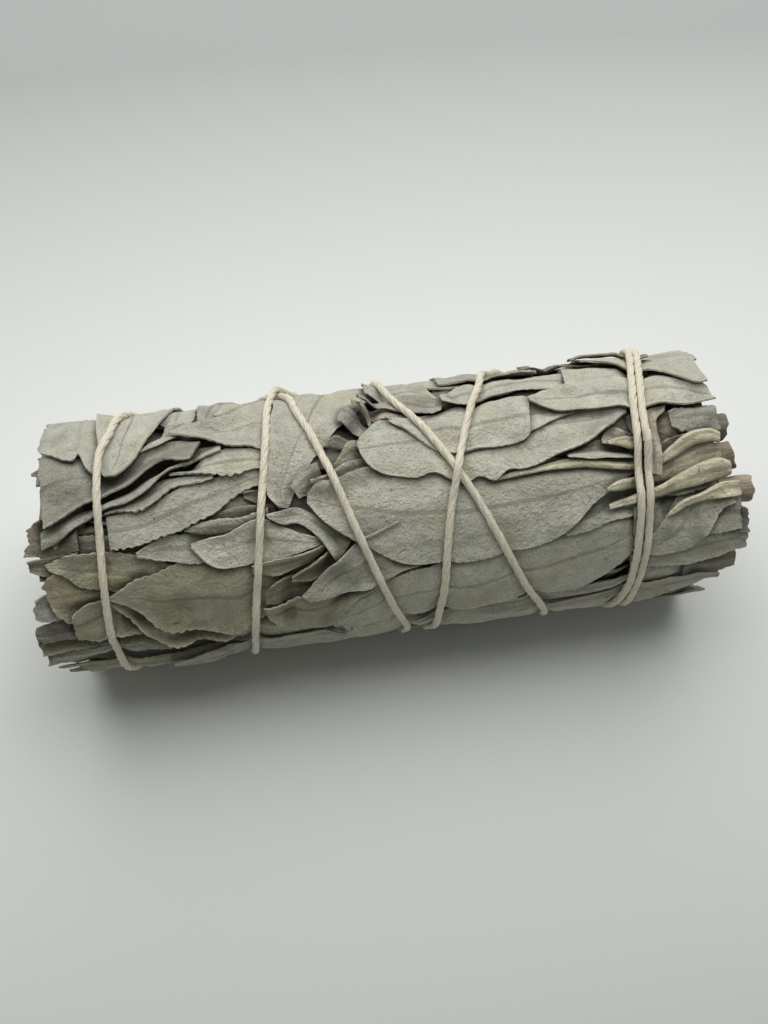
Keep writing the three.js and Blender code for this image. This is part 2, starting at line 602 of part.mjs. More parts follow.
const random = seededRandom(SEED + 1);
const backLeaves = backRows.flatMap(({ angle, shift }, r) =>
  Array.from({ length: BACK_LEAF.perRow }, (_, k) => {
    const middle = -24 + 48 * k + shift;
    const turn = 10 * (random() - 0.5);
    const left = Math.max(-49.5, middle - BACK_LEAF.length / 2);
    const right = Math.min(48.5, middle + BACK_LEAF.length / 2);
    return {
      name: `leaf_back_${r + 1}_${k + 1}`,
      from: [right, angle + turn],
      to: [left, angle - turn],
      bow: 2 * (random() - 0.5),
      width: [BACK_LEAF.halfWidth, BACK_LEAF.halfWidth * (0.85 + 0.3 * random())],
      outline: right > 46 ? "cut" : "whole",
      coarse: 1.3,
    };
  }),
);
const padLeaves = pads.map((pad) => ({
  ...pad,
  bow: 0,
  width: [PAD_HALF_WIDTH, PAD_HALF_WIDTH],
  outline: "pad",
}));
const pile = [
  ...innerLeaves.map((leaf) => ({ leaf, options: { sunk: SUNK } })),
  ...[...backLeaves, ...floorLeaves].map((leaf) => ({ leaf })),
  ...padLeaves.map((leaf) => ({ leaf, options: { pressed: true } })),
  ...leaves.flatMap((leaf) => [
    ...(leaf.name === "leaf_broad" ? stalks.map((stalk) => ({ leaf: stalk, options: STALK })) : []),
    { leaf },
  ]),
];
settle(pile.filter(({ options }) => !options?.pressed), roomField(stringPlaces()));

addPiece("inner_leaves", makeCore(), innerMaterial);
for (const stem of stems) addPiece(stem.name, stemBar(stem, STEM_START, stem.end), woodMaterial);
pile.slice(innerLeaves.length).forEach(({ leaf, options }, k) => {
  const material = options === STALK ? stalkMaterial : leafTints[k % 4];
  addPiece(leaf.name, layLeaf(leaf, options), material);
});
addPiece("string", windString(), cottonMaterial);

export default bunch;
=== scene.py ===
"""A bunch of dried white sage, packed into a roll and bound with cotton string, lying on a pale surface."""

import math

import bmesh
import bpy
import numpy as np
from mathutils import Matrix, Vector


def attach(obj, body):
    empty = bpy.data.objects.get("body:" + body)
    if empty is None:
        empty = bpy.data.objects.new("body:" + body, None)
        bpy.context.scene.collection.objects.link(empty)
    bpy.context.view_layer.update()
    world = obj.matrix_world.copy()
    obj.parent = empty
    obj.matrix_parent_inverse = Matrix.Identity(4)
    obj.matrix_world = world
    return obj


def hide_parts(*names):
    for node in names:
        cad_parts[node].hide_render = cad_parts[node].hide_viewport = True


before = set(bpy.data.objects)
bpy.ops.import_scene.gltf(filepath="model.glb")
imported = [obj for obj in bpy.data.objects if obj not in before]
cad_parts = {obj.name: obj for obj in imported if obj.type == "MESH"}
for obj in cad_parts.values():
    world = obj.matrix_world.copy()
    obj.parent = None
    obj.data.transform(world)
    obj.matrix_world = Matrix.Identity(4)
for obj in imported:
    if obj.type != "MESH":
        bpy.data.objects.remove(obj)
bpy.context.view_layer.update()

# Sizes, in millimetres and degrees. A place on the roll is x along it and an angle round it, which goes
# from 0 on top, through 90 at the front, to 180 underneath and -90 at the back.

MM = 0.001
AXIS_HEIGHT = 18.2
WRAP_RADIUS = 17.6
ARC = math.radians(1) * WRAP_RADIUS
OUTER_RADIUS = 18.75
CORE_RADIUS = 17.4
CORE_LEAST = 12.2
CORE_LEFT = -46
CORE_RIGHT = 44.5
LEAF_THICKNESS = 0.28
GAP = 0.03
STRING_RADIUS = 0.58
STRING_WAIST = 0.6
STRING_STEP = 0.4
PLIES = 4
PLY_RADIUS = 0.37
PLY_OFFSET = 0.2
PLY_PITCH = 9.5
PLY_STEP = 0.45
LEFT_END = -49.5
SETTLING_ROUNDS = 4

# A leaf that is wider than BROAD drapes over more of the pile: over how many cells of the grid each way

BROAD = 9
DRAPE_NARROW = 3
DRAPE_BROAD = 5

# How finely leaves are tried on the pile and then made, along and across, and how far apart their teeth are

LAYING_STEP = 0.15
MESH_STEP = 0.32
MESH_STEP_ACROSS = 0.4
TEETH_APART = 1.15

# Painted shade: how much darker a leaf's colour is painted where others close over it, and over what depth it
# does

PAINTED_HOLLOW_SHADE = 0.52
HOLLOW_START = 0.15
HOLLOW_DEPTH = 0.8

# The string's middle line over leaves and over its own earlier turns, in radii of the string, how many
# steps of it are taken as one turn's own, and over how many it is evened

STRING_ON_LEAVES = 0.8
STRING_ON_STRING = 1.9
STRING_OWN = 60
STRING_EVENED = 9

# The grid of places on which the height of the pile is kept

STEP_X = 0.25
STEP_ANGLE = 0.75
GRID_X = np.arange(-54, 54.01, STEP_X)
GRID_ANGLE = np.arange(0, 360, STEP_ANGLE)
COLUMNS = len(GRID_X)
ROWS = len(GRID_ANGLE)

# Outlines of plain leaves: half the width as a share of the widest, at equal steps from end to end

OUTLINES = {
    "whole": (0.06, 0.5, 0.86, 1, 0.97, 0.76, 0.08),
    "cut": (0.9, 0.98, 1, 1, 0.9, 0.6, 0.1),
    "pad": (0.3, 0.85, 1, 1, 1, 0.85, 0.3),
}

# Colours of the leaves, as the eye reads dried white sage; some are lighter or darker copies of one leaf
# colour, which paint light and shade

# Painted light: a lighter copy of the pale leaf colour, for a leaf that bulges out into the light
PAINTED_LIGHT_PALE = (0.72, 0.71, 0.6)
PALE = (0.565, 0.558, 0.468)
SOFT = (0.575, 0.568, 0.475)
GREY = (0.48, 0.472, 0.4)
# Painted shade: a darker copy of the grey leaf colour, for a leaf that lies in shade
SHADED = (0.345, 0.337, 0.28)
OLIVE = (0.42, 0.4, 0.285)
YELLOW = (0.48, 0.44, 0.31)
ASH = (0.42, 0.4, 0.35)
STRAW = (0.74, 0.69, 0.5)
TAN = (0.56, 0.5, 0.38)
BROWN = (0.28, 0.245, 0.185)
# Partly the own colour of dark dry leaves, partly painted shade on leaves put in shaded gaps
DARK = (0.25, 0.235, 0.195)
MARGIN = (0.7, 0.66, 0.52)

# How a leaf looks where its own line doesn't say otherwise: how deep the teeth of its edge are, how far it
# rounds up across, how far its edges lift and its middle line stands up, how torn its last end is, how
# far its second edge is rolled up, how pale its margin is, and how finely it is made

LOOKS = {
    "teeth": 0.1,
    "roll": 0,
    "curl": 0.2,
    "midrib": 0.015,
    "ragged": 0,
    "fold": 0,
    "margin": 0.5,
    "fine": 1,
}
PETIOLE = {"roll": 0.7, "midrib": -0.16, "teeth": 0, "curl": 0, "margin": 0}


def leaf(name, tint, ribs, node=None, **looks):
    """One leaf by its ribs, from its first end to its last: each is (x, angle, x, angle), edge to edge."""
    return {"name": name, "tint": tint, "ribs": ribs, "node": node or name, **LOOKS, **looks}


def inner(name, tint, ribs, **looks):
    """A smaller leaf that is packed in with the inner ones."""
    return leaf(name, tint, ribs, "inner_leaves", **looks)


def plain_ribs(start, end, bow, width, outline):
    """The ribs of a plain leaf between two places, its middle bowed to its left hand."""
    start = np.array([start[0], start[1] * ARC])
    run = np.array([end[0], end[1] * ARC]) - start
    left = np.array([-run[1], run[0]]) / np.linalg.norm(run)
    ribs = []
    for k, share in enumerate(OUTLINES[outline]):
        u = k / (len(OUTLINES[outline]) - 1)
        middle = start + run * u + left * bow * 4 * u * (1 - u)
        one, other = middle + left * width[0] * share, middle - left * width[1] * share
        ribs.append((one[0], one[1] / ARC, other[0], other[1] / ARC))
    return ribs


# The leaves of the side that shows, in the order in which they are laid

FRONT_LOW = [
    leaf("leaf_bottom_1", GREY, [(-4, 104, -4, 110), (-10, 95, -10, 118), (-16, 86, -15, 122),
        (-20.5, 80.5, -20, 124), (-25, 87, -26, 125), (-31, 94, -32, 124), (-38, 98, -40, 120),
        (-46, 104, -46, 110)]),
    leaf("leaf_bottom_2", SOFT, [(3, 100, 3, 106), (8, 95, 8, 114), (13, 92, 13, 117), (19, 88, 19, 118),
        (25, 89, 25, 118), (30, 88, 31, 116), (36, 91, 37, 113), (44, 97, 44, 103)]),
    inner("low_middle", SOFT, [(5, 92, 5, 100), (2, 83, 2, 104), (-1, 76.3, -1, 108), (-4, 76.5, -4, 110),
        (-7, 76.5, -7, 108), (-9, 80.5, -9.5, 103), (-10.6, 88, -10.8, 92)], teeth=0.05),
    leaf("leaf_left_1", GREY, [(-27, 92, -27, 102), (-32, 90.5, -32, 102), (-37, 90, -37, 101),
        (-41, 89, -41, 99), (-45, 86, -45, 98), (-49, 86, -49, 96), (-51.5, 87, -51.5, 97)],
        ragged=0.5, fold=0.4),
    inner("left_strip_low", OLIVE, [(-22, 99.5, -22, 101), (-30, 98, -30, 103.5), (-38, 97.5, -38, 105),
        (-45, 98, -45, 104.5), (-50.4, 98, -50.4, 103)], roll=0.35, fold=0.3, ragged=0.5),
    inner("left_strip_middle", GREY, [(-26, 90, -26, 92), (-33, 89, -33, 94.5), (-40, 87.5, -40, 93),
        (-46, 87, -46, 92), (-50.6, 87, -50.6, 90.6)], roll=0.5, curl=0.6, ragged=0.5),
    leaf("leaf_left_2", OLIVE, [(-26, 86, -26, 92), (-31, 84, -31, 92), (-35, 81, -35, 89),
        (-39, 78, -39, 86), (-43, 77, -43, 85), (-47, 77, -47, 85), (-51.5, 77, -51.5, 85)],
        ragged=0.6, curl=0.4, fold=0.35),
    inner("left_strip_high", GREY, [(-32, 80, -32, 83), (-38, 77, -38, 82), (-44, 75.5, -44, 80.5),
        (-50.8, 74.5, -50.8, 78.5)], roll=0.5, curl=0.5, ragged=0.6),
    inner("left_tip_low", DARK, [(-40, 70, -40, 78), (-45, 69, -45, 79), (-49, 68, -49, 77),
        (-51.6, 70, -51.6, 75)], roll=0.5, ragged=0.5),
    inner("left_tip_high", GREY, [(-40, 56, -40, 68), (-45, 55, -45, 68), (-49, 54, -49, 67),
        (-51.3, 57, -51.3, 65)], curl=0.5, ragged=0.5),
    leaf("leaf_right_1", SOFT, [(33, 84, 33, 101), (37, 79, 37, 101), (41, 80, 41, 101),
        (44.5, 83, 44.5, 99), (47, 88, 47, 96)], ragged=0.4),
    inner("right_tip_low", DARK, [(41, 79, 41, 88), (45, 77.5, 45, 88), (49, 77, 48.8, 86)], ragged=0.4),
    leaf("leaf_right_2", SOFT, [(33, 72, 33, 79), (37, 70, 37, 79), (41, 67, 41, 79.5), (45, 63, 45, 78.5),
        (48, 62, 48, 76), (50.1, 67, 50.1, 75)], ragged=0.5, curl=0.3),
    inner("right_stub", DARK, [(43, 51, 43, 64), (47, 50, 47, 64), (50, 55, 50, 65)], ragged=0.6),
    inner("right_small", GREY, [(42.8, 60, 43, 63), (44, 56, 44.5, 63.5), (46, 50.3, 46.3, 63),
        (48.6, 49, 48.6, 62)], ragged=0.3),
    inner("low_edge_1", GREY, [(1, 97, 1, 99), (8, 93, 8, 101), (17, 90, 17, 99), (27, 87, 27, 94),
        (34, 84, 34, 86)], roll=0.2, fold=0.25),
    inner("low_edge_2", GREY, [(20, 100, 20, 102), (27, 95, 27, 103), (35, 90, 35, 100), (42, 88, 42, 95),
        (46.5, 88, 46.5, 92)], roll=0.2, fold=0.25),
    inner("low_edge_3", GREY, [(-9, 100, -9, 102), (-14, 97, -14, 105), (-21, 96, -21, 106),
        (-29, 98, -29, 104), (-34, 100, -34, 102)], roll=0.2, fold=0.3),
    leaf("leaf_low_long", SOFT, [(-10, 84, -10.2, 90), (-7.5, 77, -8, 96), (-4, 70, -4.5, 92),
        (0, 65, 0, 90), (5, 63, 5, 90), (10, 62, 10, 92), (15, 59, 15, 88), (20, 57, 20, 86),
        (25, 51, 24.5, 86), (29, 50.3, 28.5, 80.5), (33, 49, 32.4, 71), (37, 50, 36.5, 62)]),
    inner("green_behind_1", GREY, [(23, 46, 23, 56), (26.5, 43, 26.5, 54), (29, 40, 29, 51.8),
        (32, 38, 32, 50.6), (36, 37, 36, 50)]),
    inner("green_behind_2", GREY, [(41.5, 41.5, 42, 45), (38, 40.5, 38.5, 52), (35.5, 42, 36, 60),
        (33, 46, 33, 60)]),
    leaf("leaf_right_4", PALE, [(47.2, 46.5, 47.7, 50), (43, 42, 46, 52), (40.5, 43.5, 44.3, 58),
        (38.5, 50, 43.2, 64), (36.5, 57, 41.5, 70), (35, 63, 38, 71.5), (33, 69, 34, 72)], curl=0.3),
    # Painted shade: a dark leaf where the end of the roll lies in shade
    inner("shade_strip", DARK, [(-34, 34, -34, 42), (-38, 32, -38, 41), (-42, 31, -42, 40),
        (-46, 30.5, -46, 39), (-49.2, 33, -49.2, 39)], ragged=0.4),
    inner("left_tip_brown", BROWN, [(-44, 21, -44, 36), (-48, 21, -48, 38), (-50.8, 25, -50.8, 36)],
        ragged=0.9, curl=0.5),
    inner("left_tip_dark", DARK, [(-44, 37, -44, 46), (-48, 38, -48, 46), (-51, 39, -51, 43)], ragged=0.6),
    inner("yellow_end", YELLOW, [(-38, 50, -38, 62), (-42, 49, -42, 64), (-45.5, 45.5, -44.8, 66.5),
        (-47.8, 44.5, -46.8, 68), (-49.5, 50, -48.5, 61)], ragged=0.5, curl=0.5, teeth=0.2),
    inner("curled_end", OLIVE, [(-34, 68, -33, 84), (-37.5, 62.5, -37, 80), (-41, 61.5, -41, 77.5),
        (-44, 61, -43.5, 80), (-46.3, 64.5, -46.2, 77)], ragged=0.5, curl=0.6, teeth=0.2, margin=1),
    inner("green_end", OLIVE, [(-28, 50, -28, 62), (-32, 47.5, -33, 60), (-35, 43, -36, 58),
        (-38, 40, -39, 57), (-41, 38.3, -42, 54), (-44, 38, -44.5, 51), (-46.5, 39, -46, 46.5),
        (-48.5, 40.5, -48, 43)], curl=0.3, teeth=0.15),
    leaf("leaf_pale_edged", YELLOW, [(-18, 70, -18, 84), (-22, 72, -22.5, 84.5), (-25, 76, -25.5, 88.5),
        (-28, 76, -28.5, 88), (-31, 76, -31.5, 88.2), (-34, 74, -34, 86.5), (-36.5, 68, -36.7, 79),
        (-39, 60, -39.2, 67.5), (-41, 59, -41.2, 62)], teeth=0.22, fold=0.5, margin=1.4),
    leaf("leaf_round_olive", OLIVE, [(-17.5, 55, -18, 72), (-20.5, 50, -21, 79), (-24, 48, -24.5, 83.5),
        (-28, 46, -28, 81.5), (-31, 46.3, -31.5, 80), (-34, 50, -34.5, 76.5), (-37, 52.2, -37, 67),
        (-39, 54.5, -39, 61.5), (-40.7, 58, -40.7, 59.5)], teeth=0.16, margin=0.9, curl=0.1),
    inner("brown_upper", BROWN, [(-19.8, 66, -19.8, 71), (-18, 61, -18, 71.5), (-15.5, 60, -15.5, 72),
        (-13, 62, -13, 71), (-10, 64, -10, 70)], curl=0.4),
    leaf("leaf_torn_brown", OLIVE, [(-4.5, 68, -4.8, 71), (-6.5, 68, -7, 75), (-9.5, 69, -9.5, 84),
        (-12.5, 70, -12, 91.3), (-15.5, 71, -15, 89), (-18, 72, -17.5, 85), (-20.3, 73, -19.5, 79.5)],
        curl=0.35, teeth=0.15),
    inner("dark_pointed", GREY, [(-22, 38, -22, 48), (-26, 36, -26, 48), (-29, 34.5, -29.5, 47.3),
        (-32, 35, -32.5, 45), (-34.5, 38, -34.8, 43), (-36.2, 40.8, -36.2, 41.6)]),
    inner("dark_small", DARK, [(-17, 26, -17, 34), (-21, 26, -21, 33), (-25, 27, -25, 33),
        (-28, 29, -28, 32)], roll=0.3),
    inner("small_round", GREY, [(-18, 28, -18, 38), (-21.5, 30.5, -21.5, 37.3), (-24.5, 30, -24.5, 37.2),
        (-27.5, 31, -27.5, 35.4), (-29.5, 33, -29.5, 33.8)], roll=0.3),
    # Painted light: this leaf gets the lightest tint for the light it catches where it bulges out
    leaf("leaf_pointed", PAINTED_LIGHT_PALE, [(-10.8, 45, -11, 46), (-13.5, 41, -13.8, 48), (-16.3, 36.8, -16.5, 49.8),
        (-19, 32.8, -19.5, 50.8), (-21.3, 34, -22.5, 51), (-24, 37.3, -25.2, 50.5), (-26.3, 38, -27, 47),
        (-28.8, 39.2, -28.8, 40.2)], teeth=0.03, curl=0.35),
    inner("fan_strip", OLIVE, [(-21, 52.5, -21, 56), (-18, 50.7, -18, 57.5), (-15, 49.7, -15, 56),
        (-12.5, 48.3, -12.5, 53), (-10.8, 47, -10.8, 49)], curl=0.3),
    inner("fan_brown", BROWN, [(-15.7, 60, -15.7, 60.8), (-13.5, 56, -13.5, 63), (-11.5, 52, -11.5, 61),
        (-9.5, 49, -9.5, 58)], curl=0.4),
]  # fmt: skip

LEFT_TOP = [
    inner("top_pale", PALE, [(-31.5, -75, -26.5, -75), (-31.5, -45, -26.7, -45), (-32.3, -31, -27, -30),
        (-31, -25.5, -28, -24.5)], curl=0.3),
    inner("top_ash", GREY, [(-20, -68, -24.5, -68), (-22, -45, -26.2, -45), (-23.5, -32, -26.7, -31),
        (-24.5, -24, -26.5, -24)], roll=0.5),
    inner("top_soft", SOFT, [(-14, -65, -16.5, -65), (-16.5, -42, -19.5, -45), (-20, -30, -22.5, -35),
        (-23.5, -24, -24.3, -26.5)], roll=0.5),
    leaf("leaf_long_smooth", GREY, [(-15, 7, -15.5, 13), (-19, 9.5, -19.5, 17.3),
        (-22, 11, -22.5, 22), (-25, 11.3, -25.2, 27.5), (-28, 13, -28.5, 31), (-31, 16.5, -31.3, 33.8),
        (-34, 21, -34.5, 36.3),
        (-37, 21.7, -37.5, 37.6), (-39.9, 22.5, -39.6, 37.5)], teeth=0.2, ragged=0.15, curl=0.1),
    leaf("leaf_wavy_1", GREY, [(-24.8, 10.3, -25, 11.5), (-27, 8.5, -28, 13.5), (-29.5, 7, -30.5, 14.3),
        (-31.5, 8, -33, 19.6), (-34, 12, -35.5, 22.1), (-37, 17, -38, 21.8), (-40.3, 19, -40.5, 22.3)],
        teeth=0.24, margin=1.2, curl=0.25),
    leaf("leaf_wavy_2", SOFT, [(-16, 0, -16.5, 7.6), (-20, -1.7, -20, 10.5), (-22.5, -3, -23, 11.6),
        (-25, -1, -25.5, 10.5), (-27.5, 3, -27.8, 8.8), (-30.7, 6.3, -30.8, 7.4)], teeth=0.24),
    inner("behind_fold", GREY, [(-23.5, -6, -23.5, -1.5), (-26, -8, -26.3, 1), (-29, -9, -29, 3)]),
    leaf("leaf_fold_left", GREY, [(-27.3, 3, -27.5, 4.6), (-30, 1.7, -29.8, 6), (-32.2, 2.2, -32, 8.8),
        (-34.3, 7.5, -34, 14.5), (-36.5, 12.3, -36.8, 18.8), (-40, 15.8, -40.2, 20.8),
        (-43.3, 18.8, -43, 25.3), (-46, 23, -45.6, 30), (-48.6, 26.5, -48.6, 34.8)],
        roll=0.5, curl=0, midrib=0, teeth=0.02),
    # Painted shade: this leaf gets the darkest grey tint for the shade it lies in
    leaf("leaf_left_5", SHADED, [(-26.3, -9.6, -27.7, 3.5), (-29, -12.6, -29.3, 3.8),
        (-31.5, -12, -31.6, 1.7),
        (-33.5, -9, -33.8, 4), (-35.5, -7, -36, 10.4), (-38.5, -7, -39, 13.8), (-42, -9, -43, 17.8),
        (-45.5, -12, -45.8, 22.8), (-48.7, -10, -48.2, 26.2)], ragged=0.35, curl=0.2, fold=0.25, teeth=0.04),
    inner("rolled_tip", SOFT, [(-29, -26, -28.5, -19.5), (-30.8, -25, -29.8, -14.6), (-32, -19, -31.2, -11.5),
        (-33.2, -13, -32.8, -8.8), (-34.7, -7.5, -34.7, -6.6)], roll=0.3, teeth=0.03),
    leaf("leaf_top_1", PALE, [(-10, -56, -13, 0), (-16, -40, -17.3, -0.5), (-19, -31, -20, -2),
        (-21.5, -25, -22.5, -3.3), (-24, -22.7, -24.5, -7.5), (-27, -22, -27, -11.5), (-29, -19.5, -29, -14),
        (-30.4, -17, -30.4, -15.5)], teeth=0.08, curl=0.15),
    leaf("leaf_corner_top_left", PALE, [(-39, -90, -40, 2), (-41, -90, -41.2, 3), (-42.2, -90, -42.2, -1.5),
        (-43, -88, -43, -8.5), (-43.7, -84, -43.7, -4.6), (-45, -80, -45, -5.2), (-46.6, -72, -46.7, -9),
        (-48, -62, -48.3, -11.8), (-48.6, -45, -49, -19)], teeth=0.1, curl=0.25, ragged=0.2),
    leaf("leaf_hanging_left", PALE, [(-43, -90, -29, -90), (-42, -62, -29.3, -62),
        (-41.3, -40, -30.6, -38), (-40.8, -25, -32, -24.5), (-40.5, -12, -33.8, -12.5),
        (-40.4, -4, -35.2, -3.5), (-40.2, 2, -36.6, 2.6), (-39.3, 5.6, -38.2, 6)], teeth=0.03, curl=0.35),
    leaf("leaf_hanging_middle", PALE, [(-8, -84, -4, -84), (-13, -62, 0, -60), (-15, -42, 0.5, -43),
        (-15.8, -25, -2.6, -25.5), (-16.4, -10, -6, -10.5), (-17, 3, -9.6, 3), (-17.6, 14, -12.2, 14),
        (-17.8, 22, -14, 21.5), (-16.3, 28.6, -15.2, 28.8)], teeth=0.03, curl=0.3),
]  # fmt: skip

MIDDLE = [
    inner("recess_left", GREY, [(-14.5, 20, -13.5, 25), (-12.5, 13, -11.5, 23), (-10.5, 10, -9.5, 20)]),
    inner("recess_leaf", DARK, [(-9, 1.5, -9, 3), (-7.4, -1.7, -7.6, 3.6), (-6, -1.9, -6.3, 4.5),
        (-4, -0.1, -4.1, 3)], roll=0.4),
    inner("recess_curl", ASH, [(-5.5, -20, -6.8, -10), (-4, -18, -5.3, -7.5), (-2.9, -12.6, -4.1, -4.6),
        (-2, -7.5, -2.8, -2.2)], roll=0.6, midrib=0),
    inner("recess_petiole", TAN, [(-4.3, -22, -4.1, -17), (-1.9, -21.5, -2, -13.8), (0.8, -19, 0.5, -12),
        (4.2, -14.6, 3.8, -10.6)], roll=0.5, midrib=0, teeth=0),
    inner("recess_tube", TAN, [(-3.3, -15.8, -3, -17.5), (-2.7, -12.2, -2.2, -14.3),
        (-2.4, -7.8, -1.9, -8.5)], roll=0.35, midrib=0, teeth=0),
    inner("triangle", OLIVE, [(-8.6, 12.6, -8.4, 14.6), (-7.1, 7.6, -7, 12.5), (-5.7, 2.1, -5.5, 11),
        (-3.6, 0.6, -3.5, 10)], teeth=0.02, roll=0.15),
    inner("folded_band", SOFT, [(-11.6, 19, -11.6, 20.2), (-9, 15.5, -9, 20), (-6.5, 12.3, -6.5, 19),
        (-3, 10.5, -3, 18)], roll=0.25, teeth=0.02),
    leaf("leaf_fold_middle", PALE, [(-18.3, 30.8, -18, 32.7), (-16.5, 30, -16.3, 35.6),
        (-14, 29.3, -14.3, 36.2), (-12, 32.8, -12.8, 39), (-10.2, 37.5, -11.3, 44), (-8.6, 42.5, -10.4, 49),
        (-7, 47, -9.3, 55.5)], roll=0.25, midrib=0, teeth=0.05),
    leaf("leaf_wedge", PALE, [(4.5, 44, 8, 58), (0, 43.5, 3, 60.8), (-3, 44.5, -0.5, 63),
        (-6, 48, -3.8, 68.7), (-9, 54.3, -7, 70.4), (-12, 62, -10.5, 71.4), (-14.8, 69, -13.8, 72.6)],
        teeth=0.02, curl=0.1),
    leaf("leaf_broad", SOFT, [(35, 30.5, 33.5, 32.7), (32.5, 29, 30.5, 37), (29, 26, 27.3, 43),
        (25, 22, 24.3, 51), (20, 19, 20.5, 57.3), (15, 18, 15.5, 59.8), (10, 17, 9.5, 62.5), (5, 16, 4, 60.6),
        (0, 15, -0.5, 58.8), (-4, 16, -4.6, 50.8), (-7.5, 18, -7.3, 44.7), (-10.5, 19.8, -10.5, 36.7),
        (-12.3, 24, -12.5, 28)], teeth=0.04, curl=0.12),
    inner("ridge", PALE, [(-5.6, 45.7, -5.4, 46.6), (-3, 42.8, -2.8, 43.8), (-0.2, 39.9, -0.1, 40.5)],
        roll=0.25, midrib=0, teeth=0),
    # Painted shade: a darker grey leaf where this part lies in shade
    inner("shade_triangle", GREY, [(28.5, 12, 28.5, 19), (30.7, 8, 34, 14), (33, 2, 36, 10),
        (34.5, -1, 37, 3)]),
    leaf("stalk_1", STRAW, [(35.5, 24.5, 35.5, 30.6), (29.1, 22.5, 28.8, 28.6), (26.6, 21.8, 26.3, 27),
        (24, 22, 23.8, 26.6), (20.7, 23.6, 20.6, 26.8), (17, 24.9, 17, 27.6), (13.3, 27.4, 13.3, 28.4)],
        **PETIOLE),
    inner("small_green", SOFT, [(24.3, 21, 24.4, 22.4), (26.6, 17.4, 26.4, 23.4), (28.9, 15.2, 28.4, 24.4),
        (31.2, 16, 30.9, 25), (34, 19.5, 34, 25)], teeth=0.02, roll=0.2, margin=0.9),
    inner("hood", PALE, [(29.6, 15.6, 29.6, 17.8), (31, 10.2, 30.8, 18.6), (32.3, 8.6, 31.9, 19),
        (34, 10.6, 33.6, 19), (37, 12, 37, 19)], teeth=0.02, roll=0.3, margin=0.9),
    inner("hood_petiole", STRAW, [(30.2, 17.4, 30.3, 18.9), (32.1, 15.9, 32, 20.2), (33.5, 14.5, 33.2, 20.9),
        (36, 14.3, 36, 21)], **PETIOLE),
    inner("petiole_left", STRAW, [(29.3, 37, 29.3, 38.5), (31.1, 34.5, 31.1, 39.2), (33.6, 33.8, 33.4, 39.2),
        (37, 32, 37, 37.8)], **PETIOLE),
]  # fmt: skip

